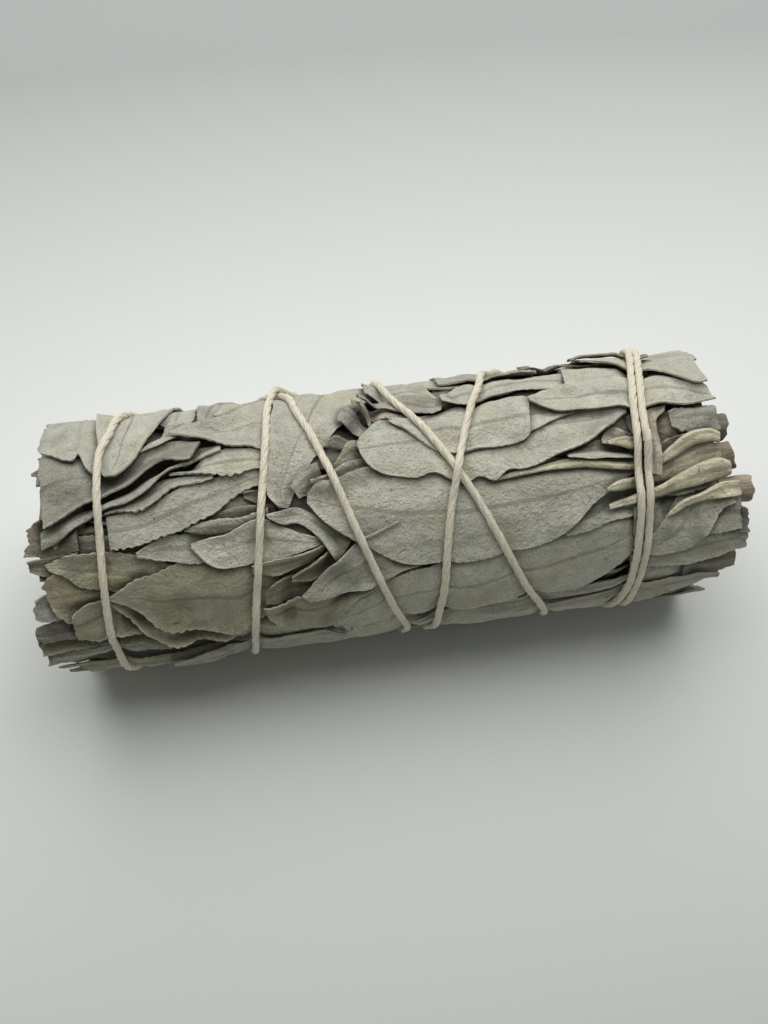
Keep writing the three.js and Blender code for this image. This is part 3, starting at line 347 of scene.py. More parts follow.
RIGHT = [
    inner("brown_behind", BROWN, [(34.5, 3, 34.5, 22), (39, 3, 39, 22), (42.5, 5, 42.5, 22),
        (45.5, 8, 45.5, 22)], curl=0.3),
    inner("crumpled_brown", ASH, [(40.2, 6, 40.2, 12.5), (42, 4.4, 41.8, 16), (44.3, 3.5, 44, 16),
        (46, 4, 46, 17.2), (47.2, 5.5, 47.2, 17.5)], curl=0.7, ragged=0.4, teeth=0.2),
    inner("olive_under", OLIVE, [(36, 20, 36, 44), (41, 18, 41, 44), (46, 18, 46, 42)]),
    leaf("stalk_3", STRAW, [(46.5, 23, 46.4, 31.4), (44, 22, 44, 33), (41.5, 24.8, 41.5, 35),
        (39, 27.6, 39, 36.6), (36, 30.4, 36, 37.6)], **PETIOLE),
    leaf("stalk_4", STRAW, [(47.4, 31.6, 47.4, 38), (45.8, 30, 46, 39.8), (44, 30.4, 44, 40.6),
        (41, 33.4, 41, 41.8), (37, 38.2, 37, 43), (33, 41.6, 33, 45.2), (29.4, 44.4, 29.4, 46.5)], **PETIOLE),
    inner("petiole_low", STRAW, [(37.8, 51, 37.8, 52.5), (40, 46.6, 40, 50.5), (43, 44, 43, 48.2),
        (46, 40.8, 46, 47.4), (48.5, 40.4, 48.5, 47.4)], **PETIOLE),
    leaf("stalk_2", STRAW, [(46.5, 18.8, 46.2, 23.6), (45, 16.4, 45, 22.4), (43, 16.6, 43.2, 23),
        (41, 19, 41.2, 25.4), (39.3, 22, 39.3, 28), (37.3, 26.4, 37.5, 29.6)], **PETIOLE),
    inner("bent_strip", TAN, [(40, 1.8, 39.3, 6.2), (38, 0.9, 38.6, 7.3), (36.9, 3.3, 38.2, 9.8),
        (36.3, 11, 38, 15), (36, 20, 37.6, 22), (35.7, 33.2, 37, 34.6)],
        roll=0.3, midrib=-0.08, teeth=0.04, margin=0.8),
    leaf("leaf_middle", SOFT, [(34.8, -1, 34.4, 1.5), (31, -5, 30.5, 10.5), (27, -8, 26.8, 17.3),
        (22, -11, 22, 21.1), (18, -12, 18, 24.9), (15.8, -12, 15.7, 24.6), (13.5, -12, 13.7, 27.8),
        (11.7, -12, 11.7, 25.4), (9, -11.5, 9.3, 27.4), (5.4, -11, 5.6, 21.3), (2, -10, 2.7, 22.8),
        (-1.5, -7, -1, 19.8), (-3.6, -0.5, -3.4, 15), (-4.5, 6, -4.4, 9)], teeth=0.05, curl=0.15),
    inner("upper_flap", SOFT, [(27.5, -4, 27, -1), (25, -8, 24, 1.8), (22, -12, 21.4, 6.2),
        (18, -12, 18, 8)], teeth=0.02, curl=0),
    leaf("leaf_upper", PALE, [(21, -11, 19.8, 8.6), (20.4, -12.6, 19.3, 10.4), (19, -13.4, 18.4, 11.8),
        (16, -13, 16, 12.7), (12.5, -11.8, 12.5, 13.1), (9, -10.8, 9, 12.8),
        (6, -9, 6, 9.7), (3, -8.8, 3, 0.7), (0, -9, 0.6, -7.7)], teeth=0.05, curl=0.15),
    inner("top_roll", SOFT, [(8.5, -20, 8.3, -14), (6, -36, 5.4, -18.8), (3.6, -42, 3.2, -22.1),
        (1, -44, 1.2, -26), (-2, -44, -2, -30)], roll=0.5, fold=0.3),
    leaf("leaf_top_2", ASH, [(9, -17, 8, -8.5), (7.3, -18, 6.6, -7.4), (5.1, -22, 4.6, -10.7),
        (2.5, -26, 2.8, -14.5), (-0.2, -24, 0.2, -16.6), (-3.5, -22.5, -3.2, -18)], roll=0.35, curl=0.3),
    leaf("leaf_top_3", SOFT, [(27.7, -33, 27, -16.8), (24, -34, 24, -17.6), (20, -34, 20, -17.8),
        (16.5, -34, 17, -16), (13.5, -31, 14, -13.3), (10.5, -27, 11, -11), (8.3, -17, 8.4, -12)],
        roll=0.35, curl=0, fold=0.3, teeth=0.03),
    inner("top_edge_1", GREY, [(9, -60, 9, -34), (14, -60, 14, -32), (19, -62, 19, -32), (24, -60, 24, -35)],
        curl=0.6),
    leaf("leaf_right_6", SOFT, [(47, -34, 47, -8), (43, -42, 43, -12), (39, -48, 39, -14), (35, -50, 35, -13),
        (31, -50, 30.6, -13.5), (28, -46, 27, -16.5)], teeth=0.03, curl=0.1),
    leaf("leaf_right_7", SOFT, [(47.2, -7, 47.7, 1.5), (44, -16, 44, 3.2), (40, -20, 40, 2.3),
        (35, -20, 35, 0.3), (30, -19, 30, -0.5), (26, -17, 25, -0.9), (23, -14, 22.6, -3.8),
        (20.7, -10, 20.9, -7)], fold=0.35, curl=0, teeth=0.02),
    inner("top_edge_2", BROWN, [(22, -48, 22, -40), (27, -54, 27, -42), (32, -54, 32, -40),
        (36, -50, 36, -31), (40, -46, 40, -25)], roll=0.4, curl=0.3),
    leaf("leaf_corner_top_right", SOFT, [(47.7, -50, 47.3, -9), (45.3, -60, 45.3, -8.6), (43, -68, 43, -13),
        (40.5, -74, 41, -22), (37, -76, 37.5, -27), (33.5, -72, 34, -33), (31, -64, 31.3, -41)],
        curl=0.35, teeth=0.03),
    inner("top_edge_3", BROWN, [(30, -50, 30, -43), (34, -48, 34, -40), (38, -46, 38, -38),
        (41.6, -46, 41.6, -38)], roll=0.3, fold=0.1, curl=0),
]  # fmt: skip

# Leaves underneath, laid flat by the roll's weight

UNDER = [
    leaf("leaf_floor_1", GREY, plain_ribs((-0.5, 179), (-48, 180), 0, (6, 6), "whole")),
    leaf("leaf_floor_2", PALE, plain_ribs((47.5, 181), (1, 182), 0, (5.8, 6), "cut")),
    leaf("leaf_floor_3", GREY, plain_ribs((47, 134), (6, 132), 0, (5.5, 6), "cut")),
    leaf("leaf_floor_4", OLIVE, plain_ribs((4, 132), (-48, 136), 0, (5.5, 6), "whole")),
    leaf("leaf_under_1", PALE, plain_ribs((-39.8, 181), (-49.3, 179), 0, (6, 6), "pad")),
    leaf("leaf_under_2", GREY, plain_ribs((-4.2, 179), (-21.5, 181), 0, (6, 6), "pad")),
    leaf("leaf_under_3", PALE, plain_ribs((20.6, 181), (6, 179), 0, (6, 6), "pad")),
    leaf("leaf_under_4", GREY, plain_ribs((48.2, 180), (39, 180), 0, (6, 6), "pad")),
]

# Leaves of the side that the picture doesn't show, in rows along the roll

BACK_ROWS = ((-48, -2), (-78, 5), (-105, -6), (-132, 3))
BACK_MIDDLES = (-24, 24)
BACK_LENGTH = 54
BACK_HALF_WIDTH = 6.1
BACK_RIGHT_END = 48.5

# Leaves packed under all of these, which show in the gaps between them

INNER_ROW_STEP = 24
INNER_MIDDLES = (-31, -3, 25)
INNER_RIGHT_END = 47.5
INNER_TINTS = (GREY, DARK, OLIVE, GREY, BROWN, ASH)

# Stems: how far out from the axis and where round it, their radius, where they are cut, and their bark

STEMS = {
    "stem_1": (12.9, 7, 1.9, 49.2, (0.24, 0.235, 0.18)),
    "stem_2": (13, 27, 2, 49.8, (0.32, 0.285, 0.2)),
    "stem_3": (13.2, 49, 1.9, 51.7, (0.4, 0.345, 0.25)),
    "stem_4": (8, 100, 1.6, 49, (0.25, 0.2, 0.145)),
    "stem_5": (7.2, -70, 2.1, 49.6, (0.25, 0.2, 0.145)),
    "stem_6": (9, 190, 1.8, 48.8, (0.25, 0.2, 0.145)),
}
STEM_START = 12
CUT_WOOD = (0.4, 0.33, 0.22)
PITH = (0.2, 0.15, 0.1)

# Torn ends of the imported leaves: the radius of the first ring, how far apart the rings are, and the most
# degrees that one leaf goes round

END_FIRST_RING = 1.4
END_RING_STEP = 0.85
END_SWEEP = 150

# The string's way: one piece, wound seven times round. The angle only goes down, a turn every 360.

STRING_WAY = [
    (35.75, 19.5), (36.7, 0), (38.2, -20), (40, -45), (39.9, -75), (39.8, -105), (38, -128), (32, -152),
    (26.5, -175), (23.8, -200), (21.6, -240), (20.4, -260), (17.3, -280), (11.7, -320), (5.3, -360),
    (2, -380), (0, -405), (-0.6, -450), (-1.2, -510), (-0.8, -560), (0.3, -610), (-2.2, -640),
    (-6.4, -680), (-10.3, -720), (-12.3, -740), (-14, -765), (-21, -800), (-29, -835), (-34.5, -870),
    (-38, -910), (-40.6, -970), (-41.5, -1000), (-41, -1040), (-40.3, -1080), (-39, -1100),
    (-37.6, -1125), (-34, -1160), (-29.3, -1195), (-26, -1230), (-24, -1270), (-22.5, -1330),
    (-21.6, -1360), (-19.5, -1400), (-17.3, -1440), (-15.2, -1485), (-8, -1520), (-1, -1555),
    (2, -1590), (3.2, -1640), (4.2, -1695), (5.2, -1720), (7, -1760), (11.2, -1800), (14, -1820),
    (17, -1845), (22.5, -1875), (27, -1900), (29.2, -1925), (30.6, -1990), (32.2, -2055),
    (33.1, -2080), (33.9, -2120), (34.5, -2140), (35.5, -2160), (37, -2180), (38.8, -2205),
    (38, -2235), (37.4, -2260), (36.6, -2300), (35.6, -2350), (33.8, -2415), (34.4, -2440),
    (34.9, -2460), (35.2, -2480), (35.7, -2504),
]  # fmt: skip

# Surface, light and camera, in metres and degrees

# Painted light: the surface's colour is lighter near the roll and darker far from it, a pool of light painted
# round the roll
SURFACE_PAINTED_LIT = (0.76, 0.775, 0.745)
SURFACE_PAINTED_DIM = (0.4, 0.412, 0.4)
ROOM_COLOUR = (0.97, 1, 0.99)
ROOM_LIGHT = 0.19
LAMP_PLACE = (0.04, 0.23, 0.5)
LAMP_SIZE = 0.85
LAMP_POWER = 4.4
CAMERA_DISTANCE = 0.186
CAMERA_UP = 55
CAMERA_SIDEWAYS = -8.5
LENS = 42.7
LENS_SHIFT = (-0.0039, -0.0029)
SENSOR_WIDTH = 36

# Fields on the grid of places


def ripple(x, y, wavelength, seed, waves=7):
    """A smooth uneven field from about -1 to 1, made of sine waves that run in seeded directions."""
    random = np.random.default_rng(seed)
    total = np.zeros(np.broadcast(x, y).shape)
    for _ in range(waves):
        turn, phase = random.uniform(0, 2 * math.pi, 2)
        k = 2 * math.pi / (wavelength * random.uniform(0.7, 1.5))
        total += np.sin(k * (x * math.cos(turn) + y * math.sin(turn)) + phase)
    return total * 1.6 / waves


def spread(field, reach, join):
    """Joins each cell with its neighbours, first along the roll and then round it."""
    padded = np.pad(field, ((reach, reach), (0, 0)), mode="edge")
    along = join([padded[d : d + field.shape[0]] for d in range(2 * reach + 1)])
    return join([np.roll(along, d, axis=1) for d in range(-reach, reach + 1)])


def greatest(fields):
    return np.maximum.reduce(fields)


def average(fields):
    return sum(fields) / len(fields)


def draped(pile, reach):
    """The smooth surface that a leaf of some stiffness takes over a pile."""
    return spread(spread(pile, reach, greatest), reach, average)


def cells(x, angle):
    i = np.clip(np.rint((x - GRID_X[0]) / STEP_X).astype(int), 0, COLUMNS - 1)
    return i, np.rint(np.mod(angle, 360) / STEP_ANGLE).astype(int) % ROWS


def sample(field, x, angle):
    """The field's value at any places, evened between its cells."""
    i = np.clip((x - GRID_X[0]) / STEP_X, 0, COLUMNS - 1.001)
    k = np.mod(angle, 360) / STEP_ANGLE
    i0, k0 = i.astype(int), np.floor(k).astype(int) % ROWS
    k1 = (k0 + 1) % ROWS
    s, t = i - i0, k - np.floor(k)
    low = field[i0, k0] * (1 - t) + field[i0, k1] * t
    high = field[i0 + 1, k0] * (1 - t) + field[i0 + 1, k1] * t
    return low * (1 - s) + high * s


def floor_radius(angle):
    """The distance from the axis to the surface underneath, very large where that is far off."""
    down = -np.cos(np.radians(angle))
    return np.where(down > 0.6, AXIS_HEIGHT / np.maximum(down, 0.6), 1000)


def on_roll(x, angle, radius):
    turn = np.radians(angle)
    return np.stack([x, -radius * np.sin(turn), AXIS_HEIGHT + radius * np.cos(turn)], axis=-1)


def smooth_line(points, per_span=10):
    """A smooth curve through the points, by Catmull and Rom's rule."""
    points = np.array(points, float)
    ends = np.vstack([2 * points[0] - points[1], points, 2 * points[-1] - points[-2]])
    t = np.linspace(0, 1, per_span, endpoint=False)[:, None]
    spans = []
    for a, b, c, d in zip(ends, ends[1:], ends[2:], ends[3:]):
        square, cube = 2 * a - 5 * b + 4 * c - d, 3 * b - a - 3 * c + d
        spans.append(0.5 * (2 * b + (c - a) * t + square * t**2 + cube * t**3))
    return np.vstack(spans + [points[-1:]])


def evenly(points, step):
    """The same line with its points a step apart."""
    lengths = np.r_[0, np.cumsum(np.linalg.norm(np.diff(points, axis=0), axis=1))]
    at = np.linspace(0, lengths[-1], int(round(lengths[-1] / step)) + 1)
    return np.stack([np.interp(at, lengths, points[:, k]) for k in range(points.shape[1])], axis=1)


# Leaves on the roll


def seed_of(item):
    return sum(ord(c) * (k + 1) for k, c in enumerate(item["name"]))


def leaf_line(item):
    """The smooth line of a leaf's ribs, flat in millimetres, the length's share at each, and the length."""
    line = smooth_line(np.array(item["ribs"], float) * (1, ARC, 1, ARC), 12)
    middle = (line[:, :2] + line[:, 2:]) / 2
    lengths = np.r_[0, np.cumsum(np.linalg.norm(np.diff(middle, axis=0), axis=1))]
    return line, lengths / lengths[-1], lengths[-1]


def widest(item):
    line = leaf_line(item)[0]
    return np.linalg.norm(line[:, 2:] - line[:, :2], axis=1).max()


def on_leaf(item, u, v):
    """The places of a leaf's points, with the leaf's length and half its width there."""
    line, shares, length = leaf_line(item)
    edges = np.stack([np.interp(u, shares, line[:, k]) for k in range(4)], axis=-1)
    middle, half = (edges[:, :2] + edges[:, 2:]) / 2, (edges[:, 2:] - edges[:, :2]) / 2
    width = np.maximum(0.03, np.linalg.norm(half, axis=1))
    x, side, seed = u * length, np.sign(v), seed_of(item)
    wave = 0.12 * ripple(x, side * 40.0, 6, seed, 4)
    scallops = item["teeth"] * (np.abs(np.sin(math.pi * x / TEETH_APART + side)) * 2 - 1.1)
    scallops = scallops * (0.6 + 0.4 * ripple(x, side * 30.0, 5, seed + 5, 3))
    out = 1 + (wave + scallops) * np.minimum(1, width / 1.5) / width
    across = v * width
    torn = 0.7 * ripple(across, 0 * u, 2.6, seed + 9) + 0.4 * ripple(across, 0 * u, 0.8, seed + 10) - 0.4
    heading = (line[-1, :2] + line[-1, 2:] - line[-14, :2] - line[-14, 2:]) / 2
    heading = heading / np.linalg.norm(heading)
    pulled = item["ragged"] * torn * np.clip((u - 0.6) / 0.4, 0, 1) ** 2
    place = middle + half * (v * out)[:, None] + heading * pulled[:, None]
    return place[:, 0], place[:, 1] / ARC, length, width


def rise(item, u, v, length, half):
    """How far the top of a leaf stands off what it lies on, at u along it and v across it, from -1 to 1."""
    x, y, seed = u * length, v * half, seed_of(item)
    body = np.minimum(1, half / 1.5)
    height = LEAF_THICKNESS + item["roll"] * np.sqrt(np.maximum(0, 1 - v**2)) * np.minimum(1, half / 0.6)
    height = height + item["midrib"] * np.exp(-((y / 0.3) ** 2)) * (1 - 0.5 * u)
    height = height + 0.06 * body * ripple(x * 0.4, y, 2.1, seed + 1)
    height = height + 0.05 * body * ripple(x, y * 0.8, 1.3, seed + 6)
    height = height + 0.08 * body * (1 + ripple(x, y, 9, seed + 2))
    lift = np.maximum(0, ripple(x, v * 3, 8, seed + 3) + 0.2)
    height = height + item["curl"] * lift * v**4
    height = height + item["fold"] * np.exp(-(((1 - v) * half / 0.75) ** 2))
    return np.maximum(LEAF_THICKNESS, height)


def lay(item, pile):
    """Lays a leaf on the pile: returns the surface that it lies on, and raises the pile by it."""
    under = draped(pile, DRAPE_NARROW if widest(item) < BROAD else DRAPE_BROAD) + GAP
    along = np.linspace(0, 1, int(leaf_line(item)[2] / LAYING_STEP) + 3)
    across = np.linspace(-1, 1, int(widest(item) / LAYING_STEP) + 3)
    u, v = (side.ravel() for side in np.meshgrid(along, across))
    x, angle, length, half = on_leaf(item, u, v)
    radius = sample(under, x, angle) + rise(item, u, v, length, half)
    np.maximum.at(pile, cells(x, angle), radius)
    return under


def core_surface(give):
    """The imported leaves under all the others, ridged lengthways, less by how far they give way."""
    x = GRID_X[:, None]
    turn = np.radians(GRID_ANGLE)[None, :]
    folds = 0.35 * np.sin(turn * 23 + 0.12 * x) + 0.3 * np.sin(turn * 37 - 0.2 * x)
    folds = folds + 0.3 * ripple(x * 0.3, np.sin(turn) * WRAP_RADIUS, 5, 41)
    return np.maximum(CORE_LEAST, CORE_RADIUS - give) + folds


def add_stems(pile):
    """Raises the pile to the stems that lie near its surface."""
    for out, angle, radius, end, _ in STEMS.values():
        turn = np.radians(GRID_ANGLE - angle)
        side = out * np.sin(turn)
        near = (np.abs(side) < radius) & (np.cos(turn) > 0)
        top = out * np.cos(turn) + np.sqrt(np.maximum(0, radius**2 - side**2))
        rows = (GRID_X > STEM_START) & (GRID_X < end)
        pile[np.ix_(rows, near)] = np.maximum(pile[np.ix_(rows, near)], top[near][None, :])
    return pile


def settle(items):
    """Finds how far the core gives way, so that the pile of leaves ends at the roll's size."""
    give = np.zeros((COLUMNS, ROWS))
    room = np.minimum(OUTER_RADIUS, floor_radius(GRID_ANGLE) + 0.2)[None, :]
    for _ in range(SETTLING_ROUNDS):
        pile = add_stems(core_surface(give))
        for item in items:
            lay(item, pile)
        proud = spread(spread(pile - room, 4, greatest), 5, average)
        give = np.clip(give + 0.85 * proud, 0, CORE_RADIUS - CORE_LEAST)
    return give


def back_leaves():
    random = np.random.default_rng(5)
    made = []
    for r, (angle, shift) in enumerate(BACK_ROWS):
        for k, middle in enumerate(BACK_MIDDLES):
            middle += shift
            left = max(LEFT_END, middle - BACK_LENGTH / 2)
            right = min(BACK_RIGHT_END, middle + BACK_LENGTH / 2)
            turn = random.uniform(-5, 5)
            width = (BACK_HALF_WIDTH, BACK_HALF_WIDTH * random.uniform(0.9, 1.1))
            outline = "cut" if right > 46 else "whole"
            bow = random.uniform(-1, 1)
            ribs = plain_ribs((right, angle + turn), (left, angle - turn), bow, width, outline)
            tint = (PALE, SOFT, GREY, OLIVE)[(2 * r + k) % 4]
            made.append(leaf(f"leaf_back_{r + 1}_{k + 1}", tint, ribs, curl=0.3, fine=0.7))
    return made


def inner_layer():
    """Plain leaves all round, which lie under the others."""
    random = np.random.default_rng(3)
    made = []
    for angle in range(-170, 190, INNER_ROW_STEP):
        for middle in INNER_MIDDLES:
            middle += random.uniform(-5, 5)
            length = random.uniform(32, 42)
            left, right = max(LEFT_END, middle - length / 2), min(INNER_RIGHT_END, middle + length / 2)
            turn, bow = random.uniform(-9, 9), random.uniform(-1, 1)
            width = random.uniform(2.8, 4.4, 2)
            ribs = plain_ribs((right, angle + turn), (left, angle - turn), bow, width, "whole")
            tint = INNER_TINTS[random.integers(len(INNER_TINTS))]
            made.append(inner(f"inner_{len(made) + 1}", tint, ribs, curl=0.5, fine=0.5))
    return made


# Making of meshes


def new_piece(name, mesh, material, *nodes, slot="sage_leaf"):
    """Makes a mesh a piece that rides with the roll and stands for its nodes."""
    piece = bpy.data.objects.new(name, mesh)
    bpy.context.scene.collection.objects.link(piece)
    mesh.materials.clear()
    mesh.materials.append(material)
    mesh.polygons.foreach_set("use_smooth", np.ones(len(mesh.polygons), bool))
    mesh.set_sharp_from_angle(angle=math.radians(50))
    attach(piece, "root")
    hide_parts(*nodes)
    return piece


def shape_sheet(mesh, shape):
    """Gives a flat grid the places, colours and flat map of shape(u, v), and numbers its points."""
    flat = np.empty(len(mesh.vertices) * 3)
    mesh.vertices.foreach_get("co", flat)
    flat = flat.reshape(-1, 3)
    points, colours, mapped = shape((flat[:, 0] + 1) / 2, flat[:, 1])
    mesh.vertices.foreach_set("co", (points * MM).ravel())
    tint = mesh.color_attributes.new(name="tint", type="FLOAT_COLOR", domain="POINT")
    tint.data.foreach_set("color", np.column_stack([colours, np.ones(len(colours))]).ravel())
    corners = np.empty(len(mesh.loops), int)
    mesh.loops.foreach_get("vertex_index", corners)
    mesh.uv_layers.new(name="flat").data.foreach_set("uv", mapped[corners].ravel())
    first = mesh.attributes.new("first", "INT", "POINT")
    first.data.foreach_set("value", np.arange(len(points), dtype=np.int32))
    return points


def sheet_mesh(name, steps, across, shape, thickness=0):
    """A sheet whose points come from shape(u, v), as places, colours and a flat map, made solid inwards."""
    bm = bmesh.new()
    bmesh.ops.create_grid(bm, x_segments=steps, y_segments=across, size=1)
    mesh = bpy.data.meshes.new(name)
    bm.to_mesh(mesh)
    points = shape_sheet(mesh, shape)
    bm.clear()
    bm.from_mesh(mesh)
    face_out(bm)
    if thickness:
        bmesh.ops.solidify(bm, geom=bm.faces[:], thickness=thickness * MM)
    bm.to_mesh(mesh)
    bm.free()
    keep_thin(mesh, points * MM, 1.5 * thickness * MM)
    return mesh


def keep_thin(mesh, points, farthest):
    """Draws the inner skin of a sheet back to its outer one where a sharp fold has thrown it far off."""
    first = np.empty(len(mesh.vertices), np.int32)
    mesh.attributes["first"].data.foreach_get("value", first)
    mesh.attributes.remove(mesh.attributes["first"])
    flat = np.empty(len(mesh.vertices) * 3)
    mesh.vertices.foreach_get("co", flat)
    offset = flat.reshape(-1, 3) - points[first]
    length = np.maximum(1e-9, np.linalg.norm(offset, axis=1))
    offset *= np.minimum(1, farthest / length)[:, None]
    mesh.vertices.foreach_set("co", (points[first] + offset).ravel())


def face_out(bm):
    """Turns the faces of an open sheet away from the roll's axis."""
    bm.normal_update()
    outwards = 0
    for face in bm.faces:
        centre = face.calc_center_median()
        outwards += face.normal.y * centre.y + face.normal.z * (centre.z - AXIS_HEIGHT * MM)
    if outwards < 0:
        bmesh.ops.reverse_faces(bm, faces=bm.faces[:])
        bm.normal_update()


def joined(name, meshes, close=False):
    """One mesh of many; where it is to be closed, its seams are merged and its ends filled."""
    bm = bmesh.new()
    for mesh in meshes:
        bm.from_mesh(mesh)
        bpy.data.meshes.remove(mesh)
    if close:
        bmesh.ops.remove_doubles(bm, verts=bm.verts[:], dist=0.000002)
        bmesh.ops.holes_fill(bm, edges=[edge for edge in bm.edges if edge.is_boundary], sides=0)
        bmesh.ops.recalc_face_normals(bm, faces=bm.faces[:])
    mesh = bpy.data.meshes.new(name)
    bm.to_mesh(mesh)
    bm.free()
    return mesh


def mixed(colours, other, share):
    return colours * (1 - share[:, None]) + np.array(other) * share[:, None]


def leaf_colours(item, u, v, length, half):
    """Pale margins, a pale middle line, and the warm and dark patches of dry leaves."""
    x, y, seed = u * length, v * half, seed_of(item)
    random = np.random.default_rng(seed)
    colours = np.ones((len(u), 3)) * np.array(item["tint"]) * random.uniform(0.95, 1.05)
    warm = np.clip(ripple(x, y, 9, seed + 7), 0, 1)
    colours = colours * (1 - 0.12 * warm[:, None] * np.array([0.1, 0.3, 1]))
    shade = np.clip(ripple(x, y, 5, seed + 8), -1, 1)
    colours = colours * (1 + 0.07 * shade[:, None])
    margin = np.clip(1 - (1 - np.abs(v)) * half / 0.28, 0, 1) * item["margin"] * (0.5 + 0.4 * warm)
    colours = mixed(colours, MARGIN, np.minimum(margin, 0.9))
    colours = mixed(colours, MARGIN, 0.18 * np.exp(-((y / 0.25) ** 2)) * (item["midrib"] > 0))
    tip = np.clip((u - 0.95) / 0.05, 0, 1) * random.uniform(0, 0.3)
    return mixed(colours, BROWN, tip)


def leaf_mesh(item, under, waist, crest):
    """The mesh of one leaf, over the surface that it was laid on, with shade painted into its colour where
    others close over it.
    """
    steps = int(np.clip(leaf_line(item)[2] / MESH_STEP * item["fine"], 16, 170))
    across = int(np.clip(widest(item) / MESH_STEP_ACROSS * item["fine"], 6, 64))

    def shape(u, v):
        v = np.sin(v * math.pi / 2)
        x, angle, length, half = on_leaf(item, u, v)
        radius = sample(under, x, angle) + rise(item, u, v, length, half)
        # Painted shade: the leaf's colour is darkened by how deep it lies under the crest of the pile
        depth = sample(crest, x, angle) - radius
        covered = np.clip((depth - HOLLOW_START) / HOLLOW_DEPTH, 0, 1)
        colours = leaf_colours(item, u, v, length, half) * (1 - PAINTED_HOLLOW_SHADE * covered)[:, None]
        pressed = sample(waist, x, angle)
        lowest = floor_radius(angle) - 1.25 * pressed * (floor_radius(angle) < 30)
        places = on_roll(x, angle, np.minimum(radius - STRING_WAIST * pressed, lowest))
        sideways = np.abs(v) * half
        veins = np.stack([u * length - 0.8 * sideways, sideways + 40 * (v < 0)], axis=-1)
        return places, colours, veins

    return sheet_mesh(item["name"], steps, across, shape, LEAF_THICKNESS)


# Materials


def new_material(name):
    material = bpy.data.materials.new(name)
    material.use_nodes = True
    nodes = material.node_tree.nodes
    return nodes, material.node_tree.links, nodes["Principled BSDF"], material


def noise_node(nodes, links, source, scale, detail=4.0, stretch=(1, 1, 1)):
    mapping = nodes.new("ShaderNodeMapping")
    mapping.inputs["Scale"].default_value = stretch
    links.new(source, mapping.inputs["Vector"])
    node = nodes.new("ShaderNodeTexNoise")
    node.inputs["Scale"].default_value = scale
    node.inputs["Detail"].default_value = detail
    node.inputs["Roughness"].default_value = 0.6
    links.new(mapping.outputs["Vector"], node.inputs["Vector"])
    return node.outputs["Fac"]


def ramp_node(nodes, links, source, stops):
    node = nodes.new("ShaderNodeValToRGB")
    ramp = node.color_ramp
    while len(ramp.elements) < len(stops):
        ramp.elements.new(0.5)
    for element, (position, colour) in zip(ramp.elements, stops):
        element.position = position
        element.color = (*colour, 1)
    links.new(source, node.inputs["Fac"])
    return node.outputs["Color"]


def multiply_node(nodes, links, factor, first, second):
    node = nodes.new("ShaderNodeMix")
    node.data_type = "RGBA"
    node.blend_type = "MULTIPLY"
    node.inputs["Factor"].default_value = factor
    links.new(first, node.inputs["A"])
    links.new(second, node.inputs["B"])
    return node.outputs["Result"]


def bump_node(nodes, links, height, strength, distance, below=None):
    node = nodes.new("ShaderNodeBump")
    node.inputs["Strength"].default_value = strength
    node.inputs["Distance"].default_value = distance
    links.new(height, node.inputs["Height"])
    if below:
        links.new(below, node.inputs["Normal"])
    return node.outputs["Normal"]


def tint_node(nodes):
    node = nodes.new("ShaderNodeAttribute")
    node.attribute_name = "tint"
    return node.outputs["Color"]


def leaf_relief(nodes, links, place, veins, grain):
    """The crumples, the wrinkles along the side veins, the suede and the fine grain of a leaf."""
    wrinkles = noise_node(nodes, links, veins, 2.1, 3, (1.5, 0.7, 1))
    crumple = noise_node(nodes, links, place, 520, 4)
    suede = noise_node(nodes, links, place, 2100, 3)
    normal = bump_node(nodes, links, crumple, 0.8, 0.0008)
    normal = bump_node(nodes, links, wrinkles, 0.8, 0.0003, normal)
    normal = bump_node(nodes, links, suede, 0.9, 0.00034, normal)
    return bump_node(nodes, links, grain, 0.8, 0.00012, normal)


def leaf_material():
    """Felted dry leaf: its own tint, mottled, with fine wrinkles along its side veins and a few specks."""
    nodes, links, shader, material = new_material("sage_leaf")
    place = nodes.new("ShaderNodeTexCoord").outputs["Object"]
    flat = nodes.new("ShaderNodeUVMap")
    flat.uv_map = "flat"
    mottle = noise_node(nodes, links, place, 700, 6)
    mottled = ramp_node(nodes, links, mottle, [(0.32, (0.84, 0.84, 0.82)), (0.6, (1.03, 1.03, 1.02))])
    colour = multiply_node(nodes, links, 0.8, tint_node(nodes), mottled)
    grain = noise_node(nodes, links, place, 5200, 2)
    grained = ramp_node(nodes, links, grain, [(0.32, (0.7, 0.7, 0.68)), (0.68, (1.16, 1.16, 1.14))])
    colour = multiply_node(nodes, links, 0.6, colour, grained)
    specks = noise_node(nodes, links, place, 1300, 1)
    specked = ramp_node(nodes, links, specks, [(0.73, (1, 1, 1)), (0.77, (0.42, 0.36, 0.28))])
    colour = multiply_node(nodes, links, 0.75, colour, specked)
    links.new(colour, shader.inputs["Base Color"])
    links.new(leaf_relief(nodes, links, place, flat.outputs["UV"], grain), shader.inputs["Normal"])
    shader.inputs["Roughness"].default_value = 0.92
    shader.inputs["Specular IOR Level"].default_value = 0.2
    shader.inputs["Sheen Weight"].default_value = 0.12
    shader.inputs["Sheen Roughness"].default_value = 0.6
    return material


def inner_material():
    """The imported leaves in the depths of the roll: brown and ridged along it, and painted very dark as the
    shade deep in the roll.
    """
    nodes, links, shader, material = new_material("inner_leaf")
    place = nodes.new("ShaderNodeTexCoord").outputs["Object"]
    streaks = noise_node(nodes, links, place, 700, 5, (0.25, 1, 1))
    # Painted shade: the brown streaks are painted near black for the shade in the depths
    stops = [(0.3, (0.07, 0.058, 0.042)), (0.5, (0.13, 0.115, 0.088)), (0.7, (0.22, 0.2, 0.16))]
    links.new(ramp_node(nodes, links, streaks, stops), shader.inputs["Base Color"])
    links.new(bump_node(nodes, links, streaks, 0.8, 0.0005), shader.inputs["Normal"])
    shader.inputs["Roughness"].default_value = 0.95
    return material


